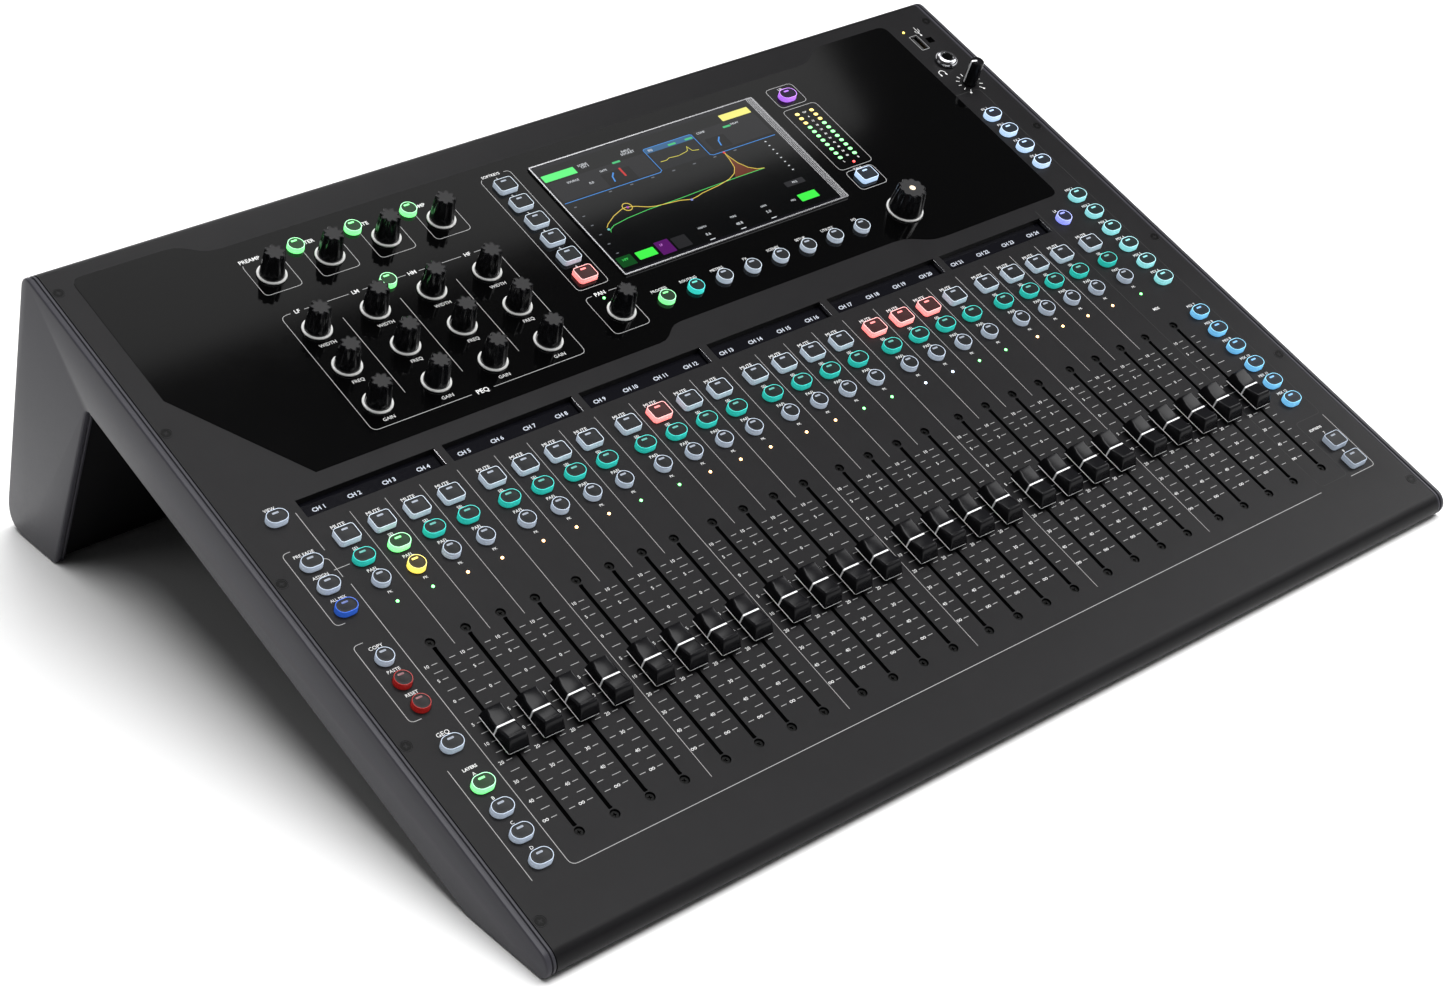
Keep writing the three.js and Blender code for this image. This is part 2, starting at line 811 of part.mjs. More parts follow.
function rightMat() {
  const column = rightKeys.filter((key) => key !== mainMixKey).map(({ s }) => s);
  return keyMat(rightKeys, [
    [rightColumn - 3.5, Math.min(...column), rightColumn + 3.5, Math.max(...column)],
    [mainMixKey.x, mainMixKey.s - 3, rightColumn, mainMixKey.s + 3],
  ]);
}

// The upper mat goes round the screen, clear of every knob's shaft.
function upperMat() {
  const top = screen.top + 2;
  const firstScreenKey = screenKeyStart - 4;
  const lastScreenKey = screenKeyStart + 7 * channelPitch + 4;
  return keyMat(upperKeys, [
    [switchX[0] - 4, top, libraryKey.x + 5, top + 5.5],
    ...switchX.map((x) => [x - 3.5, switchRow, x + 3.5, top + 3]),
    [eqSwitch.x - 3.5, eqSwitch.s, eqSwitch.x + 3.5, top + 3],
    [softColumn - 5, screen.bottom - 12, softColumn + 5, top + 3],
    [softColumn - 5, screen.bottom - 12, libraryKey.x + 5, screen.bottom - 6],
    [firstScreenKey, screenKeyRow - 4, lastScreenKey, screen.bottom - 7],
    [libraryKey.x - 5, screen.bottom - 8, libraryKey.x + 5, top + 3],
  ]);
}

// The mains rocker: a curved paddle that tips about a cross pin just inside the back wall.
const rockerPivot = deckBack - chassisInset - rockerPinInset;

function rockerPaddle() {
  const halfHeight = rocker.height / 2;
  const outward = deckBack - chassisInset + rocker.reach - rockerPivot;
  const inner = arcPoints(0, 0, halfHeight * 0.92, 270, 90, 6);
  const points = [
    ...inner,
    new THREE.Vector2(outward, halfHeight * 0.92),
    new THREE.Vector2(outward - rocker.reach * 0.5, 0),
    new THREE.Vector2(outward, -halfHeight * 0.92),
  ];
  return crosswise(points, -rocker.width / 2, rocker.width / 2);
}

// ---------------------------------------------------------------- assembly

// The tilted deck stands on the table with its middle, front to back, over the origin.
const reaches = cheekOutline().map((p) => p.x * cosTilt - p.y * sinTilt);
const deck = new THREE.Group();
deck.rotation.x = deckTilt;
deck.position.set(0, -(Math.min(...reaches) + Math.max(...reaches)) / 2, deckHeight);

function add(name, solid, material, x = 0, s = 0, n = 0) {
  const mesh = new THREE.Mesh(toGeometry(solid), material);
  mesh.name = name;
  mesh.position.set(x, s, n);
  deck.add(mesh);
  return mesh;
}

add("top_panel", topPanel(), deckPaint);
add("chassis", chassis(), deckPaint);
add("left_cheek", cheek(-halfWidth, -halfWidth + cheekThickness), cheekPlastic);
add("right_cheek", cheek(halfWidth - cheekThickness, halfWidth), cheekPlastic);
add("control_overlay", controlOverlay(), glossBlack);
add("touch_screen", touchScreen(), screenGlass);
add("rear_panel", rearPanel(), deckPaint);
add("control_boards", controlBoards(), boardGreen);
add("power_supply", powerSupply(), zincSteel);

channelXs.forEach((x, index) => {
  const number = String(index + 1).padStart(2, "0");
  add(`fader_cap_${number}`, faderCap(), capBlack, x, faderRest);
});
add("fader_cap_main", faderCap(), capBlack, mainX, faderRest);

for (const { name, x, s } of smallKnobs)
  add(name, knob(knobRingRadius, knobBaseRadius, knobTopRadius, knobHeight), glossBlack, x, s);
add(
  "screen_knob",
  knob(screenKnob.ring, screenKnob.base, screenKnob.top, screenKnob.height),
  glossBlack,
  screenKnob.x,
  screenKnob.s,
);
add(
  "phones_knob",
  slimKnob(phonesKnob.radius, phonesKnob.height),
  capBlack,
  phonesX,
  phonesKnob.s,
);

add("mute_keys", rowMat(muteKeys, muteRow), keyPlastic);
add("select_keys", rowMat(selectKeys, selectRow), keyPlastic);
add("listen_keys", rowMat(listenKeys, listenRow), keyPlastic);
add("left_keys", leftMat(), keyPlastic);
add("right_keys", rightMat(), keyPlastic);
add("upper_keys", upperMat(), keyPlastic);
add(
  "power_switch",
  rockerPaddle(),
  capBlack,
  rocker.x,
  rockerPivot,
  lowerSocketRow,
).rotation.x = rockerTilt;

const console24 = new THREE.Group();
console24.add(deck);

export default console24;
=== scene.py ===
import json
import math
from functools import lru_cache

import bmesh
import bpy
from bpy.props import FloatProperty, FloatVectorProperty, PointerProperty
from mathutils import Matrix, Vector
from mathutils.geometry import delaunay_2d_cdt


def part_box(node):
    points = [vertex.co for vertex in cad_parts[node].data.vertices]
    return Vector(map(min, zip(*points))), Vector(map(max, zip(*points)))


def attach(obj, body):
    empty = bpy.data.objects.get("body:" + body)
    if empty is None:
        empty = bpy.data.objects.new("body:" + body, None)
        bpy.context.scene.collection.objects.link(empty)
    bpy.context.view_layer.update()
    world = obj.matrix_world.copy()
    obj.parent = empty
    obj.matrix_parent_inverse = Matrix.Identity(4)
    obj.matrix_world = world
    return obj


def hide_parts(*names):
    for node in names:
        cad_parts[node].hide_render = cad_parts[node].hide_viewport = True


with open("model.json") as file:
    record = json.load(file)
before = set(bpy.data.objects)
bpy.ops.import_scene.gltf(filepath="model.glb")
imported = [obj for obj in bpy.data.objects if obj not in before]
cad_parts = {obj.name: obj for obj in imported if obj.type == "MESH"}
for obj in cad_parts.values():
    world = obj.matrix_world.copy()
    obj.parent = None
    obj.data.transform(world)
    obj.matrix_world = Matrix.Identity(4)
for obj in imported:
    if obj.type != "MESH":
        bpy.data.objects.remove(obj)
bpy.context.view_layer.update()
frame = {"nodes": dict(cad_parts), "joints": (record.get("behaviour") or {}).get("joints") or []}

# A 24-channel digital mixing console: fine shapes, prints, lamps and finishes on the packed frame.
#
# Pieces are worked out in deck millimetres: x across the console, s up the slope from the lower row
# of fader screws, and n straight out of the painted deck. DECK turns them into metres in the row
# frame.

bl_info = {
    "name": "Sloping mixing console",
    "version": (1, 0, 0),
    "blender": (4, 5, 0),
    "location": "3D View > Sidebar > Console",
    "description": "Builds the visible pieces of a sloping mixing console on its packed frame",
    "category": "Object",
}

MM = 0.001

# ------------------------------------------------------------------ places read from the frame

JOINTS = {joint["name"]: joint for joint in frame["joints"]}
CONSOLE = "console_body"
PHONES_S = 346.7  # s of the headphone level knob, which ties the deck to the row frame

ACROSS = Vector((1, 0, 0))
OUTWARD = Vector(JOINTS["phones_level_turn"]["axis"]).normalized()
UP_SLOPE = OUTWARD.cross(ACROSS)
PHONES = Vector(JOINTS["phones_level_turn"]["pos_m"])
ORIGIN = PHONES - ACROSS * PHONES.x - UP_SLOPE * PHONES_S * MM


def placed(across, along, out, origin):
    """The matrix that takes millimetres along three directions to metres in the row frame."""
    columns = Matrix((across * MM, along * MM, out * MM)).transposed().to_4x4()
    return Matrix.Translation(origin) @ columns


DECK = placed(ACROSS, UP_SLOPE, OUTWARD, ORIGIN)
TO_DECK = DECK.inverted()


def middle(node):
    """The middle of a CAD node's box, in deck millimetres."""
    low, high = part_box(node)
    return TO_DECK @ ((low + high) / 2)


def knob_place(joint):
    """x and s of a turning knob."""
    return tuple(TO_DECK @ Vector(JOINTS[joint]["pos_m"]))[:2]


CHANNELS = [middle(f"fader_cap_{number:02d}").x for number in range(1, 25)]
MAIN_X = middle("fader_cap_main").x
FADERS = [*CHANNELS, MAIN_X]
PITCH = CHANNELS[1] - CHANNELS[0]
BANKS = [(CHANNELS[k] + CHANNELS[k + 3]) / 2 for k in range(0, 24, 4)]
MUTE_S = middle("mute_keys").y
SELECT_S = middle("select_keys").y
LISTEN_S = middle("listen_keys").y
LEFT_X = middle("left_keys").x
RIGHT_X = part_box("right_keys")[1].x / MM - 6  # half a square key inside the column's edge
PHONES_X = PHONES.x / MM
EQ_X = [knob_place(f"eq_{band}_gain_turn")[0] for band in ("low", "low_mid", "high_mid", "high")]
EQ_S = [knob_place(f"eq_low_{row}_turn")[1] for row in ("width", "freq", "gain")]
TOP_KNOB_S = knob_place("preamp_turn")[1]
PAN_X, PAN_S = knob_place("pan_turn")
ENCODER_X, ENCODER_S = knob_place("screen_turn")
HALF_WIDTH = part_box("right_cheek")[1].x / MM
CHEEK = HALF_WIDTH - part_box("right_cheek")[0].x / MM
PANEL_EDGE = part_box("top_panel")[1].x / MM

# ------------------------------------------------------------------ the side profile, as in the CAD

TILT = math.atan2(UP_SLOPE.z, UP_SLOPE.y)
SIN, COS = math.sin(TILT), math.cos(TILT)
DECK_HEIGHT = ORIGIN.z / MM
DECK_FRONT = -52.74
DECK_BACK = 427.7
SLAB_DEPTH = 34.8
NOTCH_START = 355.9
FOOT_LEAN = math.radians(7)
BACK_CORNER = 8.5
NOSE = (DECK_HEIGHT + DECK_FRONT * SIN) / (1 + COS - SIN)
PANEL_THICKNESS = 2.0
PANEL_LIP = 16.0
CHASSIS_INSET = 2.3
REAR_FACE = DECK_BACK - CHASSIS_INSET  # s of the rear plate's outer face
REAR_TOP = -12.5
REAR_FLANGE = 28.0
FIT = 0.3

CAP_REST = 62.4
SLOT_START, SLOT_END, SLOT_WIDTH = 3.3, 121.2, 2.3
SCREW_ROWS = (0.0, 124.6)
KEY_HEIGHT = 3.4
SQUARE = (12.0, 10.0, 1.9)
OVAL = (11.8, 8.6, 4.3)
ROUND = (9.4, 9.4, 4.7)
KEY_STEP = 15.65
SCREEN = {"left": -20.2, "right": 146.2, "bottom": 293.0, "top": 388.8}
SCREEN_FACE = 1.6
WINDOW_LOW, WINDOW_HIGH = 218.2, 230.4
OVERLAY_TOP = 0.3
LIBRARY_X, TALK_X = 169.1, 168.7
METER_X, METER_TOP, METER_STEP = (164.6, 176.0), 365.5, 4.21
METER_MIDDLE = sum(METER_X) / 2
JACK_X, JACK_S = PHONES_X - 0.7, 369.5
DATA_SLOT = (PHONES_X - 5.2, 390.6, (5.4, 12.9, 0.4))
LOCK_X, LOCK_S = PHONES_X + 3.9, 390.3
RAIL_X = RIGHT_X + 10.2  # right side of the frames round the right-hand keys
PEAK_S, PEAK_WORD_S = 153.2, 159.8
DARK = (0.0, 0.0, 0.0)


# ------------------------------------------------------------------ sizes and colours to change


def size_mm(name, text, value):
    """A length in millimetres that a user may change."""
    return FloatProperty(name=name, description=text, default=value, min=0.0, soft_max=50.0)


def shade(name, text, value):
    """A colour that a user may change."""
    return FloatVectorProperty(
        name=name, description=text, default=value, subtype="COLOR", size=3, min=0.0, max=1.0
    )


def watts(name, text, value):
    """The power of a soft box that a user may change."""
    return FloatProperty(name=name, description=text, default=value, min=0.0, unit="POWER")


class ConsoleSizes(bpy.types.PropertyGroup):
    """Fine sizes, in millimetres."""

    hole_rim: size_mm("Hole rim", "Rounding of the painted panel at each opening", 0.14)
    line: size_mm("Printed line", "Width of the thin printed lines", 0.34)
    ink: size_mm("Ink", "Thickness of the print above the surface", 0.05)
    key_wall: size_mm("Key wall", "Width of the light ring round a key's top", 0.38)
    flute: size_mm("Knob flute", "Depth of a knob's grooves at its top", 1.35)
    cap_line: size_mm("Fader line", "Width of the white line across a fader cap", 1.0)
    groove: size_mm("Cheek groove", "Depth of the groove along each cheek's edge", 0.9)


class ConsoleColours(bpy.types.PropertyGroup):
    """Finishes' base colours and the colours of the lit keys."""

    paint: shade("Panel paint", "Dark powder coat of the panel", (0.0085, 0.0082, 0.0090))
    cheek: shade("Cheeks", "Moulded end cheeks", (0.044, 0.043, 0.051))
    gloss: shade("Overlay", "Polished control overlay", (0.0010, 0.0010, 0.0011))
    ink: shade("Print", "White print", (0.72, 0.72, 0.72))
    cap: shade("Fader caps", "Gloss black caps", (0.007, 0.007, 0.008))
    knob_top: shade("Knob tops", "Matt discs on the knobs", (0.012, 0.0117, 0.0125))
    key: shade("Key walls", "Milky plastic of the keys", (0.60, 0.66, 0.74))
    white: shade("White light", "Keys that idle", (0.50, 0.58, 0.70))
    green: shade("Green light", "Lit green keys", (0.16, 0.98, 0.22))
    teal: shade("Teal light", "Select keys", (0.03, 0.62, 0.50))
    red: shade("Red light", "Dim red keys", (1.0, 0.035, 0.03))
    hot: shade("Bright red light", "Lit red keys", (1.0, 0.17, 0.16))
    yellow: shade("Yellow light", "Lit yellow keys", (1.0, 0.72, 0.08))
    blue: shade("Blue light", "Lit blue keys", (0.05, 0.20, 1.0))
    violet: shade("Violet light", "Main mix key", (0.22, 0.26, 1.0))
    purple: shade("Purple light", "Library key", (0.42, 0.12, 0.90))
    sky: shade("Sky light", "Pale blue keys", (0.42, 0.62, 0.90))
    deep_sky: shade("Deep sky light", "Mix keys lit pale blue", (0.14, 0.48, 0.90))
    cyan: shade("Cyan light", "Pale cyan keys", (0.22, 0.74, 0.74))
    warm: shade("Warm light", "Idle peak lamps", (1.0, 0.55, 0.22))


class StudioSettings(bpy.types.PropertyGroup):
    """Light and floor."""

    high_light: FloatProperty(
        name="High light", description="Broad light from high up", default=3.7
    )
    front_light: watts("Front light", "Box at the front right", 9.0)
    right_light: watts("Right light", "Box high on the right", 34.0)
    side_light: watts("Side light", "Box on the left", 2.6)
    back_light: watts("Back light", "Box behind", 12.0)
    sheen: watts("Sheen", "Each box mirrored in the gloss", 7.0)
    floor: shade("Floor", "Plain pale floor", (0.90, 0.90, 0.90))


def sizes():
    return bpy.context.scene.console_sizes


def colours():
    return bpy.context.scene.console_colours


def light(name, strength=1.0):
    """A lamp colour from the settings, times its brightness."""
    return tuple(channel * strength for channel in getattr(colours(), name))


# ------------------------------------------------------------------ outlines


def outline(x, s, shape, grow=0.0, steps=6):
    """Points anticlockwise round a shape with four round corners: (width, length, corner)."""
    width, length, corner = shape
    half_x, half_s = width / 2 + grow, length / 2 + grow
    radius = max(min(corner + grow, half_x, half_s), 0.05)
    points = []
    for quarter, (side_x, side_s) in enumerate(((1, 1), (-1, 1), (-1, -1), (1, -1))):
        for step in range(steps + 1):
            angle = math.radians(90 * (quarter + step / steps))
            point = (
                x + side_x * (half_x - radius) + radius * math.cos(angle),
                s + side_s * (half_s - radius) + radius * math.sin(angle),
            )
            if not points or math.dist(point, points[-1]) > 1e-5:
                points.append(point)
    if math.dist(points[0], points[-1]) < 1e-5:
        points.pop()
    return points


def ring_points(x, s, radius, count=24):
    """Points anticlockwise round a circle."""
    turn = 2 * math.pi / count
    angles = [k * turn for k in range(count)]
    return [(x + radius * math.cos(a), s + radius * math.sin(a)) for a in angles]


def arc(x, s, radius, start, end, steps=8):
    """Points along an arc, with its angles in degrees."""
    angles = [math.radians(start + (end - start) * k / steps) for k in range(steps + 1)]
    return [(x + radius * math.cos(a), s + radius * math.sin(a)) for a in angles]


def bend(before, corner, after, radius, steps=4):
    """Points of a short curve that replaces a corner."""
    corner = Vector(corner)
    back, ahead = Vector(before) - corner, Vector(after) - corner
    back.normalize()
    ahead.normalize()
    cut = radius / math.tan(back.angle(ahead) / 2)
    start, end = corner + back * cut, corner + ahead * cut
    curve = []
    for k in range(steps + 1):
        t = k / steps
        curve.append(tuple(start * (1 - t) ** 2 + corner * 2 * t * (1 - t) + end * t * t))
    return curve


def softened(points, radius, closed=False, steps=4):
    """A path with its corners rounded."""
    count = len(points)
    path = [] if closed else [tuple(points[0])]
    for k in range(0 if closed else 1, count if closed else count - 1):
        path += bend(points[k - 1], points[k], points[(k + 1) % count], radius, steps)
    return path if closed else [*path, tuple(points[-1])]


def framed(left, low, right, high):
    """The four corners of an upright frame, anticlockwise."""
    return [(left, low), (right, low), (right, high), (left, high)]


def eased(x0, s0, x1, s1, steps=6):
    """Points of the curved step between two levels of the overlay's edge."""
    points = []
    for k in range(steps + 1):
        t = k / steps
        lift = 3 * t * t * (1 - t) + t ** 3
        along = 3 * t * (1 - t) ** 2 * 0.5 + 3 * t * t * (1 - t) * 0.5 + t ** 3
        points.append((x0 + (x1 - x0) * along, s0 + (s1 - s0) * lift))
    return points


def overlay_edge(grow):
    """The overlay's outline: cut lower-left corner, stepped front and back edges."""
    left, right = 19.8 - HALF_WIDTH - grow, HALF_WIDTH - 41.5 + grow
    low, mid_low = 242.3 - grow, 251.4 - grow
    high, mid_high = 412.6 + grow, 402.0 + grow
    points = [(left + 43.6, low)]
    points += eased(-33, low, -12, mid_low)
    points += eased(147, mid_low, 180, low)
    points += bend((180, low), (right, low), (right, high), 6)
    points += bend((right, low), (right, high), (223, high), 6)
    points += eased(223, high, 195, mid_high)
    points += eased(-214, mid_high, -241, high)
    points += bend((-241, high), (left, high), (left, 317 - grow), 6)
    return [*points, (left, 317.0 - grow)]


# ------------------------------------------------------------------ forms


class Form:
    """Points and faces of one piece in millimetres, with a finish number on each face."""

    def __init__(self):
        self.points = []
        self.faces = []
        self.marks = []
        self.glows = []

    def add(self, points, faces, mark=0):
        """Takes in points and faces made elsewhere."""
        base = len(self.points)
        self.points += [tuple(point) for point in points]
        self.glows += [DARK] * len(points)
        self.faces += [[base + k for k in face] for face in faces]
        self.marks += [mark] * len(faces)

    def loft(self, loops, mark=0, marks=None, ring=False, ends=(True, True)):
        """Skins loops that run anticlockwise round the way they progress."""
        count, rows = len(loops[0]), len(loops)
        points = [point for loop in loops for point in loop]
        for row in range(rows if ring else rows - 1):
            here, there = row * count, ((row + 1) % rows) * count
            quads = []
            for k in range(count):
                ahead = (k + 1) % count
                quads.append([here + k, here + ahead, there + ahead, there + k])
            self.faces += [[len(self.points) + k for k in quad] for quad in quads]
            self.marks += [marks[row] if marks else mark] * count
        if not ring and ends[0]:
            self.faces.append([len(self.points) + k for k in reversed(range(count))])
            self.marks.append(marks[0] if marks else mark)
        if not ring and ends[1]:
            self.faces.append([len(self.points) + (rows - 1) * count + k for k in range(count)])
            self.marks.append(marks[-1] if marks else mark)
        self.points += [tuple(point) for point in points]
        self.glows += [DARK] * len(points)

    def lit(self, glow, draw, *values, **more):
        """Draws with one of this form's own functions and gives the new points a glow."""
        start = len(self.points)
        draw(*values, **more)
        self.glows[start:] = [glow] * (len(self.points) - start)

    def turned(self, x, s, profile, count=24, **more):
        """A round shape about an upright axis, from a profile of (radius, n)."""
        self.loft(
            [[(*p, n) for p in ring_points(x, s, radius, count)] for radius, n in profile], **more
        )

    def shaped(self, x, s, shape, levels, steps=6, **more):
        """A rounded shape that rises through levels of (n, grow)."""
        self.loft(
            [[(*p, n) for p in outline(x, s, shape, grow, steps)] for n, grow in levels], **more
        )

    def slab(self, path, low, high, mark=0):
        """A flat outline given some thickness."""
        self.loft([[(*p, low) for p in path], [(*p, high) for p in path]], mark)

    def band(self, outer, inner, low, high, mark=0):
        """A flat ring between two outlines with the same number of points."""
        levels = ((outer, low), (outer, high), (inner, high), (inner, low))
        self.loft([[(*p, n) for p in path] for path, n in levels], mark, ring=True)

    def strip(self, path, width, low, high, closed=False, mark=0):
        """A printed or raised line of one width along a path."""
        count = len(path)
        loops = []
        for k, point in enumerate(path):
            here = Vector(point)
            before = Vector(path[k - 1]) if closed or k else None
            after = Vector(path[(k + 1) % count]) if closed or k < count - 1 else None
            arrive = (here - before).normalized() if before else (after - here).normalized()
            leave = (after - here).normalized() if after else arrive
            along = (arrive + leave).normalized()
            reach = width / 2 / max(along.dot(leave), 0.4)
            side = Vector((-along.y, along.x)) * reach
            right, left = here - side, here + side
            loops.append([(*right, low), (*left, low), (*left, high), (*right, high)])
        self.loft(loops, mark, ring=closed)

    def words(self, text, x, s, size, n, mark=0, weight=0.05, align="CENTER", turn=0.0):
        """Printed words, centred on x and s unless aligned otherwise."""
        points, faces = lettering(text, size, weight, align)
        c, d = math.cos(turn), math.sin(turn)
        moved = [(x + c * px - d * ps, s + d * px + c * ps, n + pn) for px, ps, pn in points]
        self.add(moved, faces, mark)

    def copies(self, master, spots, mark=0):
        """A master form copied at each spot of (x, s, n, turn, glow)."""
        mesh = copied(master, tuple(spots))
        glow = mesh.attributes["glow"].data
        base = len(self.points)
        self.points += [tuple(vertex.co) for vertex in mesh.vertices]
        self.glows += [tuple(value.color)[:3] for value in glow]
        self.faces += [[base + k for k in polygon.vertices] for polygon in mesh.polygons]
        self.marks += [mark] * len(mesh.polygons)
        bpy.data.meshes.remove(mesh)

    def mesh(self, name, finishes, matrix=DECK, sharp=34.0):
        """The finished mesh, in metres in the row frame."""
        mesh = bpy.data.meshes.new(name)
        mesh.from_pydata([Vector(point) for point in self.points], [], self.faces)
        mesh.transform(matrix)
        for finish in finishes:
            mesh.materials.append(finish)
        mesh.polygons.foreach_set("material_index", self.marks)
        glow = mesh.attributes.new("glow", "FLOAT_COLOR", "POINT")
        glow.data.foreach_set("color", [v for c in self.glows for v in (*c, 1.0)])
        mesh.shade_smooth()
        mesh.set_sharp_from_angle(angle=math.radians(sharp))
        mesh.update()
        return mesh

    def piece(self, name, finishes, slot, body=CONSOLE, nodes=(), matrix=DECK, sharp=34.0):
        """The finished object, riding on its body and standing for any CAD nodes."""
        made = bpy.data.objects.new(name, self.mesh(name, finishes, matrix, sharp))
        bpy.context.scene.collection.objects.link(made)
        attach(made, body)
        if nodes:
            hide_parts(*nodes)
        return made


@lru_cache(maxsize=None)
def lettering(text, size, weight, align):
    """Points and faces of printed words about their own middle."""
    curve = bpy.data.curves.new("words", "FONT")
    curve.body = text
    curve.size = size
    curve.align_x = align
    curve.align_y = "CENTER"
    curve.resolution_u = 2
    curve.offset = weight
    curve.extrude = sizes().ink / 2
    holder = bpy.data.objects.new("words", curve)
    bpy.context.scene.collection.objects.link(holder)
    graph = bpy.context.evaluated_depsgraph_get()
    mesh = bpy.data.meshes.new_from_object(holder.evaluated_get(graph))
    points = [tuple(vertex.co) for vertex in mesh.vertices]
    faces = [list(polygon.vertices) for polygon in mesh.polygons]
    bpy.data.objects.remove(holder)
    bpy.data.curves.remove(curve)
    bpy.data.meshes.remove(mesh)
    return points, faces


def plate(form, outer, holes, levels, mark=0, walls=None):
    """A sheet with holes. levels run down as (n, grow); outer and each hole take a grow."""
    loops = [outer(-levels[0][1]), *[hole(levels[0][1]) for hole in holes]]
    starts = [0]
    for loop in loops:
        starts.append(starts[-1] + len(loop))
    rings = [list(range(starts[k], starts[k + 1])) for k in range(len(loops))]
    flat = [Vector(point) for loop in loops for point in loop]
    found = delaunay_2d_cdt(flat, [], rings, 1, 1e-7)
    _, _, triangles, sources, _, regions = found
    kept = [face for face, region in zip(triangles, regions) if list(region) == [0]]
    crossing = [tuple(found[0][k]) for k, source in enumerate(sources) if not source]
    if crossing:
        raise ValueError(f"openings cross near {crossing[:6]}")
    top = [[sources[k][0] for k in face] for face in kept]
    count, last = starts[-1], len(levels) - 1
    points = []
    for n, grow in levels:
        at_level = [outer(-grow), *[hole(grow) for hole in holes]]
        points += [(*point, n) for loop in at_level for point in loop]
    faces = list(top)
    faces += [[k + last * count for k in reversed(face)] for face in top]
    for index, ring in enumerate(rings):
        for k, here in enumerate(ring):
            if index == 0 and walls is not None and k not in walls:
                continue
            ahead = ring[(k + 1) % len(ring)]
            for row in range(last):
                up, down = row * count, (row + 1) * count
                quad = [here + down, ahead + down, ahead + up, here + up]
                faces.append(quad if index == 0 else quad[::-1])
    form.add(points, faces, mark)


# ------------------------------------------------------------------ copies at points


@lru_cache(maxsize=None)
def copies_tree():
    """The node tree that copies one shape at every point, turned by each point's own angle."""
    tree = bpy.data.node_groups.new("Copies at points", "GeometryNodeTree")
    face = tree.interface
    face.new_socket("Points", in_out="INPUT", socket_type="NodeSocketGeometry")
    face.new_socket("Shape", in_out="INPUT", socket_type="NodeSocketObject")
    face.new_socket("Scale", in_out="INPUT", socket_type="NodeSocketFloat").default_value = 1.0
    face.new_socket("Finish", in_out="INPUT", socket_type="NodeSocketMaterial")
    face.new_socket("Copies", in_out="OUTPUT", socket_type="NodeSocketGeometry")
    start = tree.nodes.new("NodeGroupInput")
    shape = tree.nodes.new("GeometryNodeObjectInfo")
    turn = tree.nodes.new("GeometryNodeInputNamedAttribute")
    turn.data_type = "FLOAT"
    turn.inputs["Name"].default_value = "turn"
    angle = tree.nodes.new("ShaderNodeCombineXYZ")
    rotation = tree.nodes.new("FunctionNodeEulerToRotation")
    spread = tree.nodes.new("GeometryNodeInstanceOnPoints")
    real = tree.nodes.new("GeometryNodeRealizeInstances")
    finish = tree.nodes.new("GeometryNodeSetMaterial")
    end = tree.nodes.new("NodeGroupOutput")
    for source, target in (
        (start.outputs["Points"], spread.inputs["Points"]),
        (start.outputs["Shape"], shape.inputs["Object"]),
        (shape.outputs["Geometry"], spread.inputs["Instance"]),
        (turn.outputs["Attribute"], angle.inputs["Z"]),
        (angle.outputs["Vector"], rotation.inputs["Euler"]),
        (rotation.outputs["Rotation"], spread.inputs["Rotation"]),
        (start.outputs["Scale"], spread.inputs["Scale"]),
        (spread.outputs["Instances"], real.inputs["Geometry"]),
        (real.outputs["Geometry"], finish.inputs["Geometry"]),
        (start.outputs["Finish"], finish.inputs["Material"]),
        (finish.outputs["Geometry"], end.inputs["Copies"]),
    ):
        tree.links.new(source, target)
    return tree


def copied(master, spots):
    """One plain mesh of a master form at every spot of (x, s, n, turn, glow), in millimetres."""
    shape = bpy.data.objects.new("shape", master.mesh("shape", (), Matrix.Identity(4)))
    carrier = bpy.data.meshes.new("spots")
    carrier.from_pydata([spot[:3] for spot in spots], [], [])
    turns = carrier.attributes.new("turn", "FLOAT", "POINT")
    turns.data.foreach_set("value", [spot[3] for spot in spots])
    glows = carrier.attributes.new("glow", "FLOAT_COLOR", "POINT")
    glows.data.foreach_set("color", [v for spot in spots for v in (*spot[4], 1.0)])
    shape.data.attributes.remove(shape.data.attributes["glow"])
    holder = bpy.data.objects.new("spots", carrier)
    for made in (shape, holder):
        bpy.context.scene.collection.objects.link(made)
    modifier = holder.modifiers.new("Copies", "NODES")
    modifier.node_group = copies_tree()
    values = {"Shape": shape, "Scale": 1.0, "Finish": ink_white()}
    for socket in copies_tree().interface.items_tree:
        if socket.in_out == "INPUT" and socket.name in values:
            modifier[socket.identifier] = values[socket.name]
    graph = bpy.context.evaluated_depsgraph_get()
    mesh = bpy.data.meshes.new_from_object(
        holder.evaluated_get(graph), preserve_all_data_layers=True, depsgraph=graph
    )
    holder.modifiers.remove(modifier)
    for made in (shape, holder):
        bpy.data.objects.remove(made)
    return mesh


def spots_at(places, n=0.0, turn=0.0, step=0.0):
    """Dark spots at one height from places of (x, s), each turned a step more than the last."""
    return [(x, s, n, turn + step * k, DARK) for k, (x, s) in enumerate(places)]


# ------------------------------------------------------------------ finishes


def shader_group(name, inputs, outputs):
    """An empty shader node group with named sockets."""
    tree = bpy.data.node_groups.new(name, "ShaderNodeTree")
    for label, value in inputs:
        socket = tree.interface.new_socket(label, in_out="INPUT", socket_type="NodeSocketFloat")
        socket.default_value = value
    for label in outputs:
        tree.interface.new_socket(label, in_out="OUTPUT", socket_type="NodeSocketFloat")
    return tree, tree.nodes.new("NodeGroupInput"), tree.nodes.new("NodeGroupOutput")


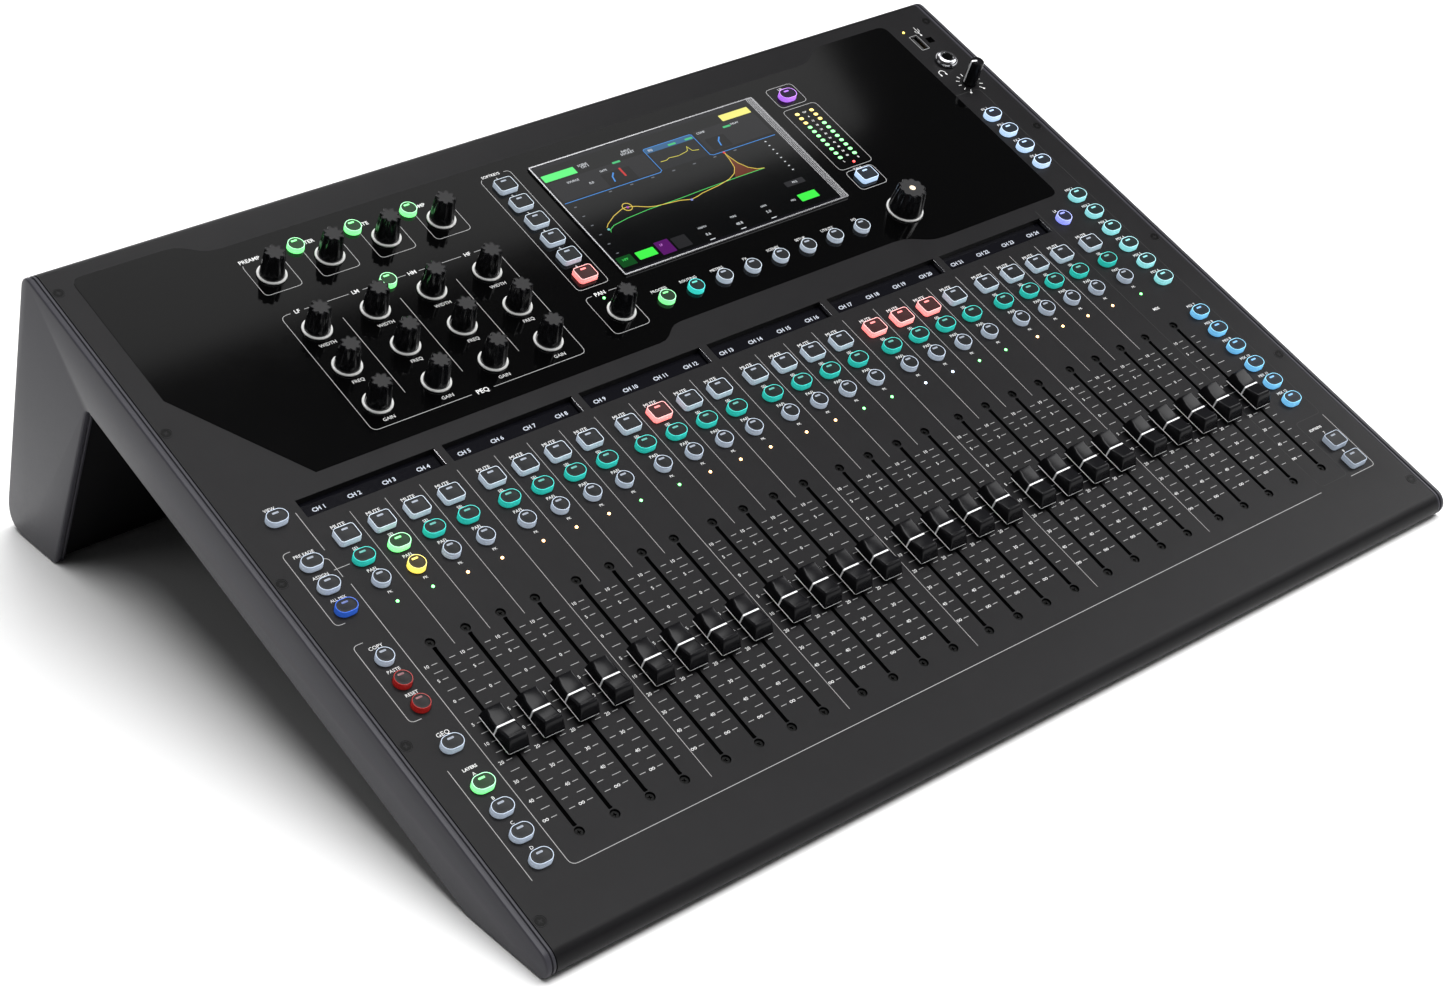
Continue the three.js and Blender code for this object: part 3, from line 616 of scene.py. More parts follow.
def maths(tree, kind, first, second):
    """A Math node fed by sockets or numbers."""
    node = tree.nodes.new("ShaderNodeMath")
    node.operation = kind
    for k, value in enumerate((first, second)):
        if isinstance(value, (int, float)):
            node.inputs[k].default_value = value
        else:
            tree.links.new(value, node.inputs[k])
    return node.outputs[0]


@lru_cache(maxsize=None)
def grain_group():
    """Fine grain of paint or moulded plastic: a height, and a slow mottle of the colour."""
    tree, start, end = shader_group("Surface grain", (("Grain mm", 0.4),), ("Height", "Mottle"))
    place = tree.nodes.new("ShaderNodeTexCoord")
    fine = tree.nodes.new("ShaderNodeTexNoise")
    fine.inputs["Detail"].default_value = 2.0
    fine.inputs["Roughness"].default_value = 0.6
    slow = tree.nodes.new("ShaderNodeTexNoise")
    slow.inputs["Scale"].default_value = 55.0
    slow.inputs["Detail"].default_value = 3.0
    tree.links.new(place.outputs["Object"], fine.inputs["Vector"])
    tree.links.new(place.outputs["Object"], slow.inputs["Vector"])
    tree.links.new(maths(tree, "DIVIDE", 1000.0, start.outputs["Grain mm"]), fine.inputs["Scale"])
    tree.links.new(fine.outputs["Fac"], end.inputs["Height"])
    tree.links.new(
        maths(tree, "MULTIPLY", maths(tree, "ADD", fine.outputs["Fac"], slow.outputs["Fac"]), 0.5),
        end.inputs["Mottle"],
    )
    return tree


@lru_cache(maxsize=None)
def handling_group():
    """Faint smudges and rub marks that change how shiny a surface is."""
    tree, start, end = shader_group("Handling marks", (("Amount", 0.5),), ("Smudge",))
    place = tree.nodes.new("ShaderNodeTexCoord")
    smear = tree.nodes.new("ShaderNodeTexNoise")
    smear.inputs["Scale"].default_value = 26.0
    smear.inputs["Detail"].default_value = 5.0
    smear.inputs["Distortion"].default_value = 0.6
    rubs = tree.nodes.new("ShaderNodeTexNoise")
    rubs.inputs["Scale"].default_value = 420.0
    rubs.inputs["Detail"].default_value = 2.0
    tree.links.new(place.outputs["Object"], smear.inputs["Vector"])
    tree.links.new(place.outputs["Object"], rubs.inputs["Vector"])
    both = maths(tree, "MULTIPLY", smear.outputs["Fac"], rubs.outputs["Fac"])
    tree.links.new(
        maths(tree, "MULTIPLY", both, start.outputs["Amount"]), end.inputs["Smudge"]
    )
    return tree


def finish(name, colour, roughness, grain=0.4, bump=0.02, mottle=0.12, marks=0.1, **more):
    """A procedural finish: mottled colour, grain bump in mm, handling marks in the roughness."""
    material = bpy.data.materials.new(name)
    material.use_nodes = True
    tree = material.node_tree
    shader = tree.nodes["Principled BSDF"]
    surface = tree.nodes.new("ShaderNodeGroup")
    surface.node_tree = grain_group()
    surface.inputs["Grain mm"].default_value = grain
    handling = tree.nodes.new("ShaderNodeGroup")
    handling.node_tree = handling_group()
    handling.inputs["Amount"].default_value = marks
    blend = tree.nodes.new("ShaderNodeMix")
    blend.data_type = "RGBA"
    blend.inputs[6].default_value = (*[channel * (1 - mottle) for channel in colour], 1)
    blend.inputs[7].default_value = (*[channel * (1 + mottle) for channel in colour], 1)
    relief = tree.nodes.new("ShaderNodeBump")
    relief.inputs["Strength"].default_value = 1.0
    relief.inputs["Distance"].default_value = bump * MM
    tree.links.new(surface.outputs["Mottle"], blend.inputs["Factor"])
    tree.links.new(blend.outputs[2], shader.inputs["Base Color"])
    tree.links.new(
        maths(tree, "ADD", handling.outputs["Smudge"], roughness), shader.inputs["Roughness"]
    )
    tree.links.new(surface.outputs["Height"], relief.inputs["Height"])
    tree.links.new(relief.outputs["Normal"], shader.inputs["Normal"])
    for socket, value in more.items():
        shader.inputs[socket.replace("_", " ").title().replace("Ior", "IOR")].default_value = value
    return material


def glowing(material):
    """Makes a finish shine with the glow that its points carry."""
    tree = material.node_tree
    glow = tree.nodes.new("ShaderNodeAttribute")
    glow.attribute_name = "glow"
    tree.links.new(glow.outputs["Color"], tree.nodes["Principled BSDF"].inputs["Emission Color"])
    return material


def tinted(material):
    """Colours milky plastic with the light inside it, up to nearly white."""
    tree = material.node_tree
    shader = tree.nodes["Principled BSDF"]
    glow = next(node for node in tree.nodes if node.bl_idname == "ShaderNodeAttribute")
    stronger = tree.nodes.new("ShaderNodeVectorMath")
    stronger.operation = "SCALE"
    stronger.inputs["Scale"].default_value = 1.6
    capped = tree.nodes.new("ShaderNodeVectorMath")
    capped.operation = "MINIMUM"
    capped.inputs[1].default_value = colours().key
    tree.links.new(glow.outputs["Color"], stronger.inputs[0])
    tree.links.new(stronger.outputs[0], capped.inputs[0])
    tree.links.new(capped.outputs[0], shader.inputs["Base Color"])
    return material


@lru_cache(maxsize=None)
def panel_paint():
    """Fine dark powder coat."""
    return finish("Panel powder coat", colours().paint, 0.33, 0.42, 0.05, 0.30, 0.10,
                  specular_ior_level=0.095)


@lru_cache(maxsize=None)
def cheek_finish():
    """Satin moulded plastic of the end cheeks."""
    return finish("Cheek moulding", colours().cheek, 0.30, 0.35, 0.012, 0.08, 0.12,
                  specular_ior_level=0.13)


@lru_cache(maxsize=None)
def overlay_gloss():
    """Polished black overlay."""
    return finish("Overlay gloss", colours().gloss, 0.06, 1.5, 0.0004, 0.05, 0.06,
                  specular_ior_level=0.3)


@lru_cache(maxsize=None)
def ink_white():
    """White print."""
    return finish("White print", colours().ink, 0.5, 0.3, 0.003, 0.06, 0.1)


@lru_cache(maxsize=None)
def ink_grey():
    """Grey print for the thin lines."""
    return finish("Grey print", (0.34, 0.34, 0.34), 0.5, 0.3, 0.003, 0.06, 0.1)


@lru_cache(maxsize=None)
def cap_gloss():
    """Gloss black of the fader caps."""
    return finish("Cap gloss", colours().cap, 0.16, 0.6, 0.001, 0.1, 0.12, specular_ior_level=0.13)


@lru_cache(maxsize=None)
def cap_white():
    """White layer and line moulded into the fader caps."""
    return finish("Cap white", (0.88, 0.88, 0.89), 0.35, 0.3, 0.002, 0.05, 0.05)


@lru_cache(maxsize=None)
def knob_gloss():
    """Gloss black of the knob skirts."""
    return finish("Knob gloss", (0.006, 0.006, 0.007), 0.12, 0.8, 0.001, 0.1, 0.12)


@lru_cache(maxsize=None)
def knob_matt():
    """Matt knob tops."""
    return finish("Knob top", colours().knob_top, 0.55, 0.25, 0.02, 0.14, 0.1,
                  specular_ior_level=0.25)


@lru_cache(maxsize=None)
def ring_white():
    """Satin white ring at a knob's foot."""
    return finish("Knob ring", (0.66, 0.66, 0.65), 0.30, 0.5, 0.002, 0.05, 0.1, coat_weight=0.3)


@lru_cache(maxsize=None)
def key_wall():
    """Milky plastic that carries the key's light."""
    material = finish("Key wall", colours().key, 0.30, 0.5, 0.002, 0.06, 0.1,
                      emission_strength=0.55)
    return tinted(glowing(material))


@lru_cache(maxsize=None)
def key_face():
    """Dark smoked top of a key."""
    material = finish("Key face", (0.0035, 0.0038, 0.0044), 0.30, 0.4, 0.004, 0.1, 0.12,
                      emission_strength=0.02, specular_ior_level=0.16)
    return glowing(material)


@lru_cache(maxsize=None)
def key_bar():
    """The small clear bar that shows a key's light."""
    material = finish("Key bar", (0.10, 0.10, 0.11), 0.25, 0.4, 0.002, 0.05, 0.05,
                      emission_strength=0.9)
    return glowing(material)


@lru_cache(maxsize=None)
def lamp_lens():
    """Small clear lamp lenses."""
    material = finish("Lamp lens", (0.25, 0.25, 0.25), 0.2, 0.4, 0.002, 0.05, 0.05,
                      emission_strength=2.2)
    return glowing(material)


@lru_cache(maxsize=None)
def screen_glass():
    """Black glass over the displays."""
    return finish("Display glass", (0.004, 0.004, 0.006), 0.06, 2.0, 0.0004, 0.05, 0.08)


@lru_cache(maxsize=None)
def screen_light():
    """Lit shapes of the displays."""
    material = finish("Display light", (0.0003, 0.0003, 0.0003), 0.06, 2.0, 0.0002, 0.05, 0.04,
                      emission_strength=1.0)
    return glowing(material)


@lru_cache(maxsize=None)
def silver_trim():
    """Brushed bright trim of the touch display."""
    return finish("Silver trim", (0.66, 0.66, 0.68), 0.22, 0.8, 0.0004, 0.05, 0.1, metallic=1.0)


@lru_cache(maxsize=None)
def bright_chrome():
    """Bright plated nuts and shells."""
    return finish("Bright plating", (0.42, 0.42, 0.44), 0.16, 0.6, 0.001, 0.05, 0.15, metallic=1.0)


@lru_cache(maxsize=None)
def black_steel():
    """Blackened screw heads."""
    return finish("Black screws", (0.002, 0.002, 0.002), 0.30, 0.2, 0.006, 0.2, 0.1,
                  specular_ior_level=0.07)


@lru_cache(maxsize=None)
def socket_black():
    """Moulded black sockets and inserts."""
    return finish("Socket moulding", (0.012, 0.012, 0.013), 0.38, 0.4, 0.01, 0.1, 0.12)


@lru_cache(maxsize=None)
def black_print_and_port_shade():
    """Deep black inside of slots and ports."""
    return finish("Port inside", (0.003, 0.003, 0.003), 0.7, 0.5, 0.01, 0.1, 0.1)


@lru_cache(maxsize=None)
def contact_gold():
    """Plated contacts."""
    return finish("Gold contacts", (0.75, 0.52, 0.20), 0.22, 0.4, 0.001, 0.06, 0.1, metallic=1.0)


@lru_cache(maxsize=None)
def foot_rubber():
    """Black rubber feet."""
    return finish("Foot rubber", (0.02, 0.02, 0.02), 0.8, 0.5, 0.03, 0.15, 0.1)


@lru_cache(maxsize=None)
def zinc_plate():
    """Bright zinc of the power supply's case."""
    return finish("Zinc plate", (0.50, 0.51, 0.52), 0.34, 3.0, 0.004, 0.15, 0.2, metallic=1.0)


@lru_cache(maxsize=None)
def board_mask():
    """Green boards, with the black steel bodies of the faders at the front."""
    material = finish("Circuit board", (0.012, 0.085, 0.038), 0.42, 1.2, 0.02, 0.25, 0.1)
    tree = material.node_tree
    place = tree.nodes.new("ShaderNodeTexCoord")
    along = tree.nodes.new("ShaderNodeVectorMath")
    along.operation = "DOT_PRODUCT"
    along.inputs[1].default_value = UP_SLOPE
    tree.links.new(place.outputs["Object"], along.inputs[0])
    edge = ORIGIN.dot(UP_SLOPE) + 136 * MM  # the fader bodies end here
    front = maths(tree, "LESS_THAN", along.outputs["Value"], edge)
    blend = tree.nodes.new("ShaderNodeMix")
    blend.data_type = "RGBA"
    blend.inputs[7].default_value = (0.008, 0.008, 0.009, 1)
    tree.links.new(front, blend.inputs["Factor"])
    shader = tree.nodes["Principled BSDF"]
    tree.links.new(shader.inputs["Base Color"].links[0].from_socket, blend.inputs[6])
    tree.links.new(blend.outputs[2], shader.inputs["Base Color"])
    return material


# ------------------------------------------------------------------ where the controls stand


def key_specs():
    """Every key as (x, s, shape, glow name, brightness, words), listed by the mat it stands on."""
    lit_mutes = (9, 16, 17, 18)
    mutes = [
        (x, MUTE_S, SQUARE, *(("hot", 2.6) if k in lit_mutes else ("white", 0.72)), "MUTE")
        for k, x in enumerate(FADERS)
    ]
    selects = [
        (x, SELECT_S, OVAL, *(("green", 2.6) if k == 1 else ("teal", 0.75)), "SEL")
        for k, x in enumerate(FADERS)
    ]
    listens = [
        (x, LISTEN_S, ROUND, *(("yellow", 2.2) if k == 1 else ("white", 0.62)), "PAFL")
        for k, x in enumerate(FADERS)
    ]

    def column(x, top, shape, glow, power, words):
        return [
            (x, top - k * KEY_STEP, shape, glow, power, label) for k, label in enumerate(words)
        ]

    left = [
        (LEFT_X, 223.6, OVAL, "white", 0.62, "VIEW"),
        (LEFT_X, 191.5, OVAL, "white", 0.62, "PRE FADE"),
        (LEFT_X, 175.85, OVAL, "white", 0.62, "ASSIGN"),
        (LEFT_X, 160.2, OVAL, "blue", 0.42, "ALL MIX"),
        (LEFT_X, 126.2, ROUND, "white", 0.6, "COPY"),
        (LEFT_X, 110.55, ROUND, "red", 0.20, "PASTE"),
        (LEFT_X, 94.9, ROUND, "red", 0.20, "RESET"),
        (LEFT_X, 68.5, OVAL, "white", 0.62, "GEQ"),
        (LEFT_X, 42.7, OVAL, "green", 2.2, "A"),
        *column(LEFT_X, 27.05, OVAL, "white", 0.62, "BCD"),
    ]
    right = [
        *column(RIGHT_X, 315.6, OVAL, "sky", 1.7, [f"FX {k}" for k in range(1, 5)]),
        (MAIN_X, 223.4, ROUND, "violet", 1.8, "LR"),
        *column(RIGHT_X, 235.3, OVAL, "cyan", 1.3, [f"MIX {k}" for k in range(1, 7)]),
        *column(RIGHT_X, 125.2, OVAL, "deep_sky", 1.3, [f"MIX {k}" for k in range(7, 13)]),
        *column(RIGHT_X, 11.1, SQUARE, "white", 0.5, "78"),
    ]
    soft_x, soft_top = -40.8, 381.4
    screen_words = ("PROCESS", "ROUTING", "METERS", "FX", "SCENES", "SETUP", "UTILITY", "I/O")
    screen_glows = (("green", 2.0), ("teal", 1.4), *[("white", 0.72)] * 6)
    upper = [
        *[(x + 22.8, 386.5, ROUND, "green", 2.6, "IN") for x in EQ_X[:3]],
        (-144.6, 343.2, ROUND, "green", 2.6, "IN"),
        *[
            (soft_x, soft_top - k * KEY_STEP, SQUARE,
             *(("hot", 2.6) if k == 5 else ("white", 0.72)), str(k + 1))
            for k in range(6)
        ],
        *[
            (-8.7 + k * PITCH, 268.8, ROUND, *glow, words)
            for k, (glow, words) in enumerate(zip(screen_glows, screen_words))
        ],
        (LIBRARY_X, 381.4, OVAL, "purple", 1.6, "LIB"),
        (TALK_X, 303.5, SQUARE, "sky", 1.6, "TALK"),
    ]
    return {
        "mute_keys": mutes,
        "select_keys": selects,
        "listen_keys": listens,
        "left_keys": left,
        "right_keys": right,
        "upper_keys": upper,
    }


def small_knobs():
    """Body, x and s of every small encoder."""
    made = []
    for joint in frame["joints"]:
        child = joint["child"]
        if child.endswith("_knob") and child not in ("screen_knob", "phones_knob"):
            made.append((child, *knob_place(joint["name"])))
    return made


def hole_for(x, s, shape, gap=0.25):
    """A panel opening round a key or a port, as a function of its grow."""
    return lambda grow: outline(x, s, shape, gap + grow)


# ------------------------------------------------------------------ the panel, overlay and cheeks


def nose_arc(radius, start, end, steps):
    return arc(DECK_FRONT + NOSE, -NOSE, radius, start, end, steps)


def back_arc(radius, start, end, steps):
    return arc(DECK_BACK - BACK_CORNER, -BACK_CORNER, radius, start, end, steps)


def folded_edge(form, outer, inner):
    """One rolled edge of the panel, from its outer and inner side profiles of (s, n)."""
    rows = len(outer)
    points = []
    for x in (-PANEL_EDGE, PANEL_EDGE):
        points += [(x, *p) for p in outer] + [(x, *p) for p in inner]
    far = 2 * rows
    faces = []
    for k in range(rows - 1):
        faces.append([k, k + 1, far + k + 1, far + k])
        faces.append([rows + k + 1, rows + k, far + rows + k, far + rows + k + 1])
        faces.append([k + 1, k, rows + k, rows + k + 1])
        faces.append([far + k, far + k + 1, far + rows + k + 1, far + rows + k])
    faces.append([rows - 1, 2 * rows - 1, far + 2 * rows - 1, far + rows - 1])
    form.add(points, faces)


def build_panel():
    """The painted sheet: openings with rounded rims, rolled front, turned-down back."""
    keys = key_specs()
    holes = [
        hole_for(x, s, shape)
        for mat in ("mute_keys", "select_keys", "listen_keys", "left_keys", "right_keys")
        for x, s, shape, *_ in keys[mat]
    ]
    slot = (SLOT_WIDTH, SLOT_END - SLOT_START, 0.5)
    screw = (5.5, 5.5, 2.75)
    for x in FADERS:
        holes.append(hole_for(x, (SLOT_START + SLOT_END) / 2, slot, 0.0))
        holes += [hole_for(x, s, screw, -0.15) for s in SCREW_ROWS]
    for x in BANKS:
        window = (4 * PITCH, WINDOW_HIGH - WINDOW_LOW, 0.4)
        holes.append(hole_for(x, (WINDOW_LOW + WINDOW_HIGH) / 2, window, 0.0))
    holes.append(hole_for(*DATA_SLOT, 0.0))
    holes.append(hole_for(LOCK_X, LOCK_S, (5.0, 5.0, 0.5), 0.0))
    holes.append(hole_for(JACK_X, JACK_S, (9.6, 9.6, 4.8), 0.0))
    holes.append(hole_for(PHONES_X, PHONES_S, (7.2, 7.2, 3.6), 0.0))
    holes.append(lambda grow: overlay_edge(-5.0 + grow))
    front, back = DECK_FRONT + NOSE, DECK_BACK - BACK_CORNER
    corners = framed(-PANEL_EDGE, front, PANEL_EDGE, back)
    rim = sizes().hole_rim
    levels = ((0.0, rim), (-0.3 * rim, 0.3 * rim), (-rim, 0.0), (-PANEL_THICKNESS, 0.0))
    form = Form()
    plate(form, lambda grow: corners, holes, levels, walls=(1, 3))
    inner = NOSE - PANEL_THICKNESS
    folded_edge(form, nose_arc(NOSE, 90, 215, 18), nose_arc(inner, 90, 215, 18))
    tight = BACK_CORNER - PANEL_THICKNESS
    outer = [*back_arc(BACK_CORNER, 90, 0, 14), (DECK_BACK, -PANEL_LIP)]
    inside = [*back_arc(tight, 90, 0, 14), (DECK_BACK - PANEL_THICKNESS, -PANEL_LIP)]
    mirrored = Form()
    folded_edge(mirrored, outer, inside)
    form.add(mirrored.points, [face[::-1] for face in mirrored.faces])
    made = form.piece("panel_sheet", (panel_paint(),), "deck_paint", nodes=("top_panel",), sharp=12)
    weld(made.data)


def weld(mesh, gap=2e-6):
    """Joins points that lie together, so that neighbouring strips shade as one sheet."""
    loose = bmesh.new()
    loose.from_mesh(mesh)
    bmesh.ops.remove_doubles(loose, verts=loose.verts, dist=gap)
    loose.to_mesh(mesh)
    loose.free()
    mesh.set_sharp_from_angle(angle=math.radians(12))
    mesh.update()


def build_overlay():
    """The gloss overlay with its key and shaft openings."""
    keys = key_specs()["upper_keys"]
    holes = [hole_for(x, s, shape) for x, s, shape, *_ in keys]
    shaft = (7.2, 7.2, 3.6)
    holes += [hole_for(x, s, shaft, 0.0) for _, x, s in small_knobs()]
    holes.append(hole_for(ENCODER_X, ENCODER_S, shaft, 0.0))
    centre = ((SCREEN["left"] + SCREEN["right"]) / 2, (SCREEN["bottom"] + SCREEN["top"]) / 2)
    size = (SCREEN["right"] - SCREEN["left"], SCREEN["top"] - SCREEN["bottom"], 0.4)
    holes.append(hole_for(*centre, size, FIT))
    levels = ((OVERLAY_TOP, 0.1), (OVERLAY_TOP - 0.12, 0.0), (-0.9, 0.0))
    form = Form()
    plate(form, overlay_edge, holes, levels)
    form.piece("overlay_sheet", (overlay_gloss(),), "overlay_gloss", nodes=("control_overlay",),
               sharp=12)


def table_line(s, lift):
    """n of a line parallel to the table, lifted off it, at a given s."""
    return (lift - DECK_HEIGHT - s * SIN) / COS


def profile_corners(inset):
    """Corners of the side view moved inwards."""
    underside = inset - SLAB_DEPTH
    rest = (inset - DECK_HEIGHT - underside * COS) / SIN
    lean = math.tan(FOOT_LEAN)
    front = NOTCH_START + inset / math.cos(FOOT_LEAN)
    toe = (front - SLAB_DEPTH * lean - lean * (inset - DECK_HEIGHT) / COS) / (1 - lean * SIN / COS)
    back = DECK_BACK - inset
    return {
        "rest": (rest, underside),
        "apex": (front - (SLAB_DEPTH + underside) * lean, underside),
        "toe": (toe, table_line(toe, inset)),
        "heel": (back, table_line(back, inset)),
        "back": back,
    }


def cheek_outline(inset):
    """The whole side view as (s, n), anticlockwise."""
    at = profile_corners(inset)
    table_angle = 270 - math.degrees(TILT)
    points = nose_arc(NOSE - inset, 180, table_angle, 8)
    points.append(at["rest"])
    points += bend(at["rest"], at["apex"], at["toe"], 5 + inset, 6)
    points += bend(at["apex"], at["toe"], at["heel"], 5, 6)
    points += bend(at["toe"], at["heel"], (at["back"], 0.0), 15, 8)
    points += back_arc(BACK_CORNER - inset, 0, 90, 8)
    points += nose_arc(NOSE - inset, 90, 180, 10)[:-1]
    return points


def build_cheek(side):
    """One end cheek: rounded outer edge, a groove all round, and a thin lip against the panel."""
    groove = sizes().groove
    section = (
        (0.0, 1.5), (0.25, 0.75), (0.8, 0.2), (1.5, 0.0), (2.7, 0.0), (3.0, 0.25),
        (3.15, groove), (3.85, groove), (4.0, 0.2), (4.2, 0.0), (5.2, 0.0), (CHEEK, 0.4),
    )
    loops = []
    for depth, inset in section if side < 0 else reversed(section):
        x = side * (HALF_WIDTH - depth)
        loops.append([(x, s, n) for s, n in cheek_outline(inset)])
    name = "left_cheek" if side < 0 else "right_cheek"
    form = Form()
    form.loft(loops)
    form.piece(f"{name}_moulding", (cheek_finish(),), "cheek_plastic", nodes=(name,), sharp=25)


# ------------------------------------------------------------------ displays


def build_windows():
    """Under-panel trays, black glass and the names lit behind it."""
    form = Form()
    low, high, depth = WINDOW_LOW, WINDOW_HIGH, -3.7
    centre = (low + high) / 2
    size = (4 * PITCH, high - low, 0.4)
    name_light = (0.75, 0.8, 0.9)
    for bank, x in enumerate(BANKS):
        form.band(outline(x, centre, size, 1.6), outline(x, centre, size, 0.0), -3.95, -2.0, 0)
        inside = (size[0] - 0.5, size[1] - 0.5, 0.4)
        form.slab(outline(x, centre, inside, 0.2, 2), depth - 0.6, depth, 1)
        edge = x + 2 * PITCH - 0.2
        form.strip([(edge, low + 0.5), (edge, high - 0.6)], 0.35, -2.6, -0.35, mark=3)
        for channel in range(4 * bank, 4 * bank + 4):
            form.lit(name_light, form.words, f"CH {channel + 1}", CHANNELS[channel], centre - 0.6,
                     3.6, depth + 0.04, 2, 0.08)
    finishes = (panel_paint(), screen_glass(), screen_light(), silver_trim())
    form.piece("channel_displays", finishes, "screen_glass")


def build_screen():
    """The touch display: glass slab, bright trim with its ribbed right edge."""
    left, right, low, high = SCREEN["left"], SCREEN["right"], SCREEN["bottom"], SCREEN["top"]
    centre = ((left + right) / 2, (low + high) / 2)
    size = (right - left, high - low, 1.0)
    form = Form()
    form.shaped(*centre, size, ((-7.5, -0.6), (0.2, -0.6), (0.9, -0.9)), mark=1)
    glass = (right - left - 1.8, high - low - 1.8, 0.8)
    form.shaped(*centre, glass, ((0.9, 0.0), (1.45, 0.0), (SCREEN_FACE, -0.15)), mark=0)
    trim = outline(*centre, size, 0.0)
    inner = outline(*centre, size, -0.8)
    form.band(trim, inner, -0.4, 1.7, 2)
    for k in range(4):
        x = right - 1.3 - 1.15 * k
        top = 2.0 - 0.12 * k
        form.strip([(x, low + 0.9), (x, high - 0.9)], 0.75, 1.5, top, mark=2)
    finishes = (screen_glass(), socket_black(), silver_trim())
    form.piece("touch_screen_module", finishes, "screen_glass", nodes=("touch_screen",))
    build_picture(left + 2.4, right - 6.6, low + 2.4, high - 2.4)


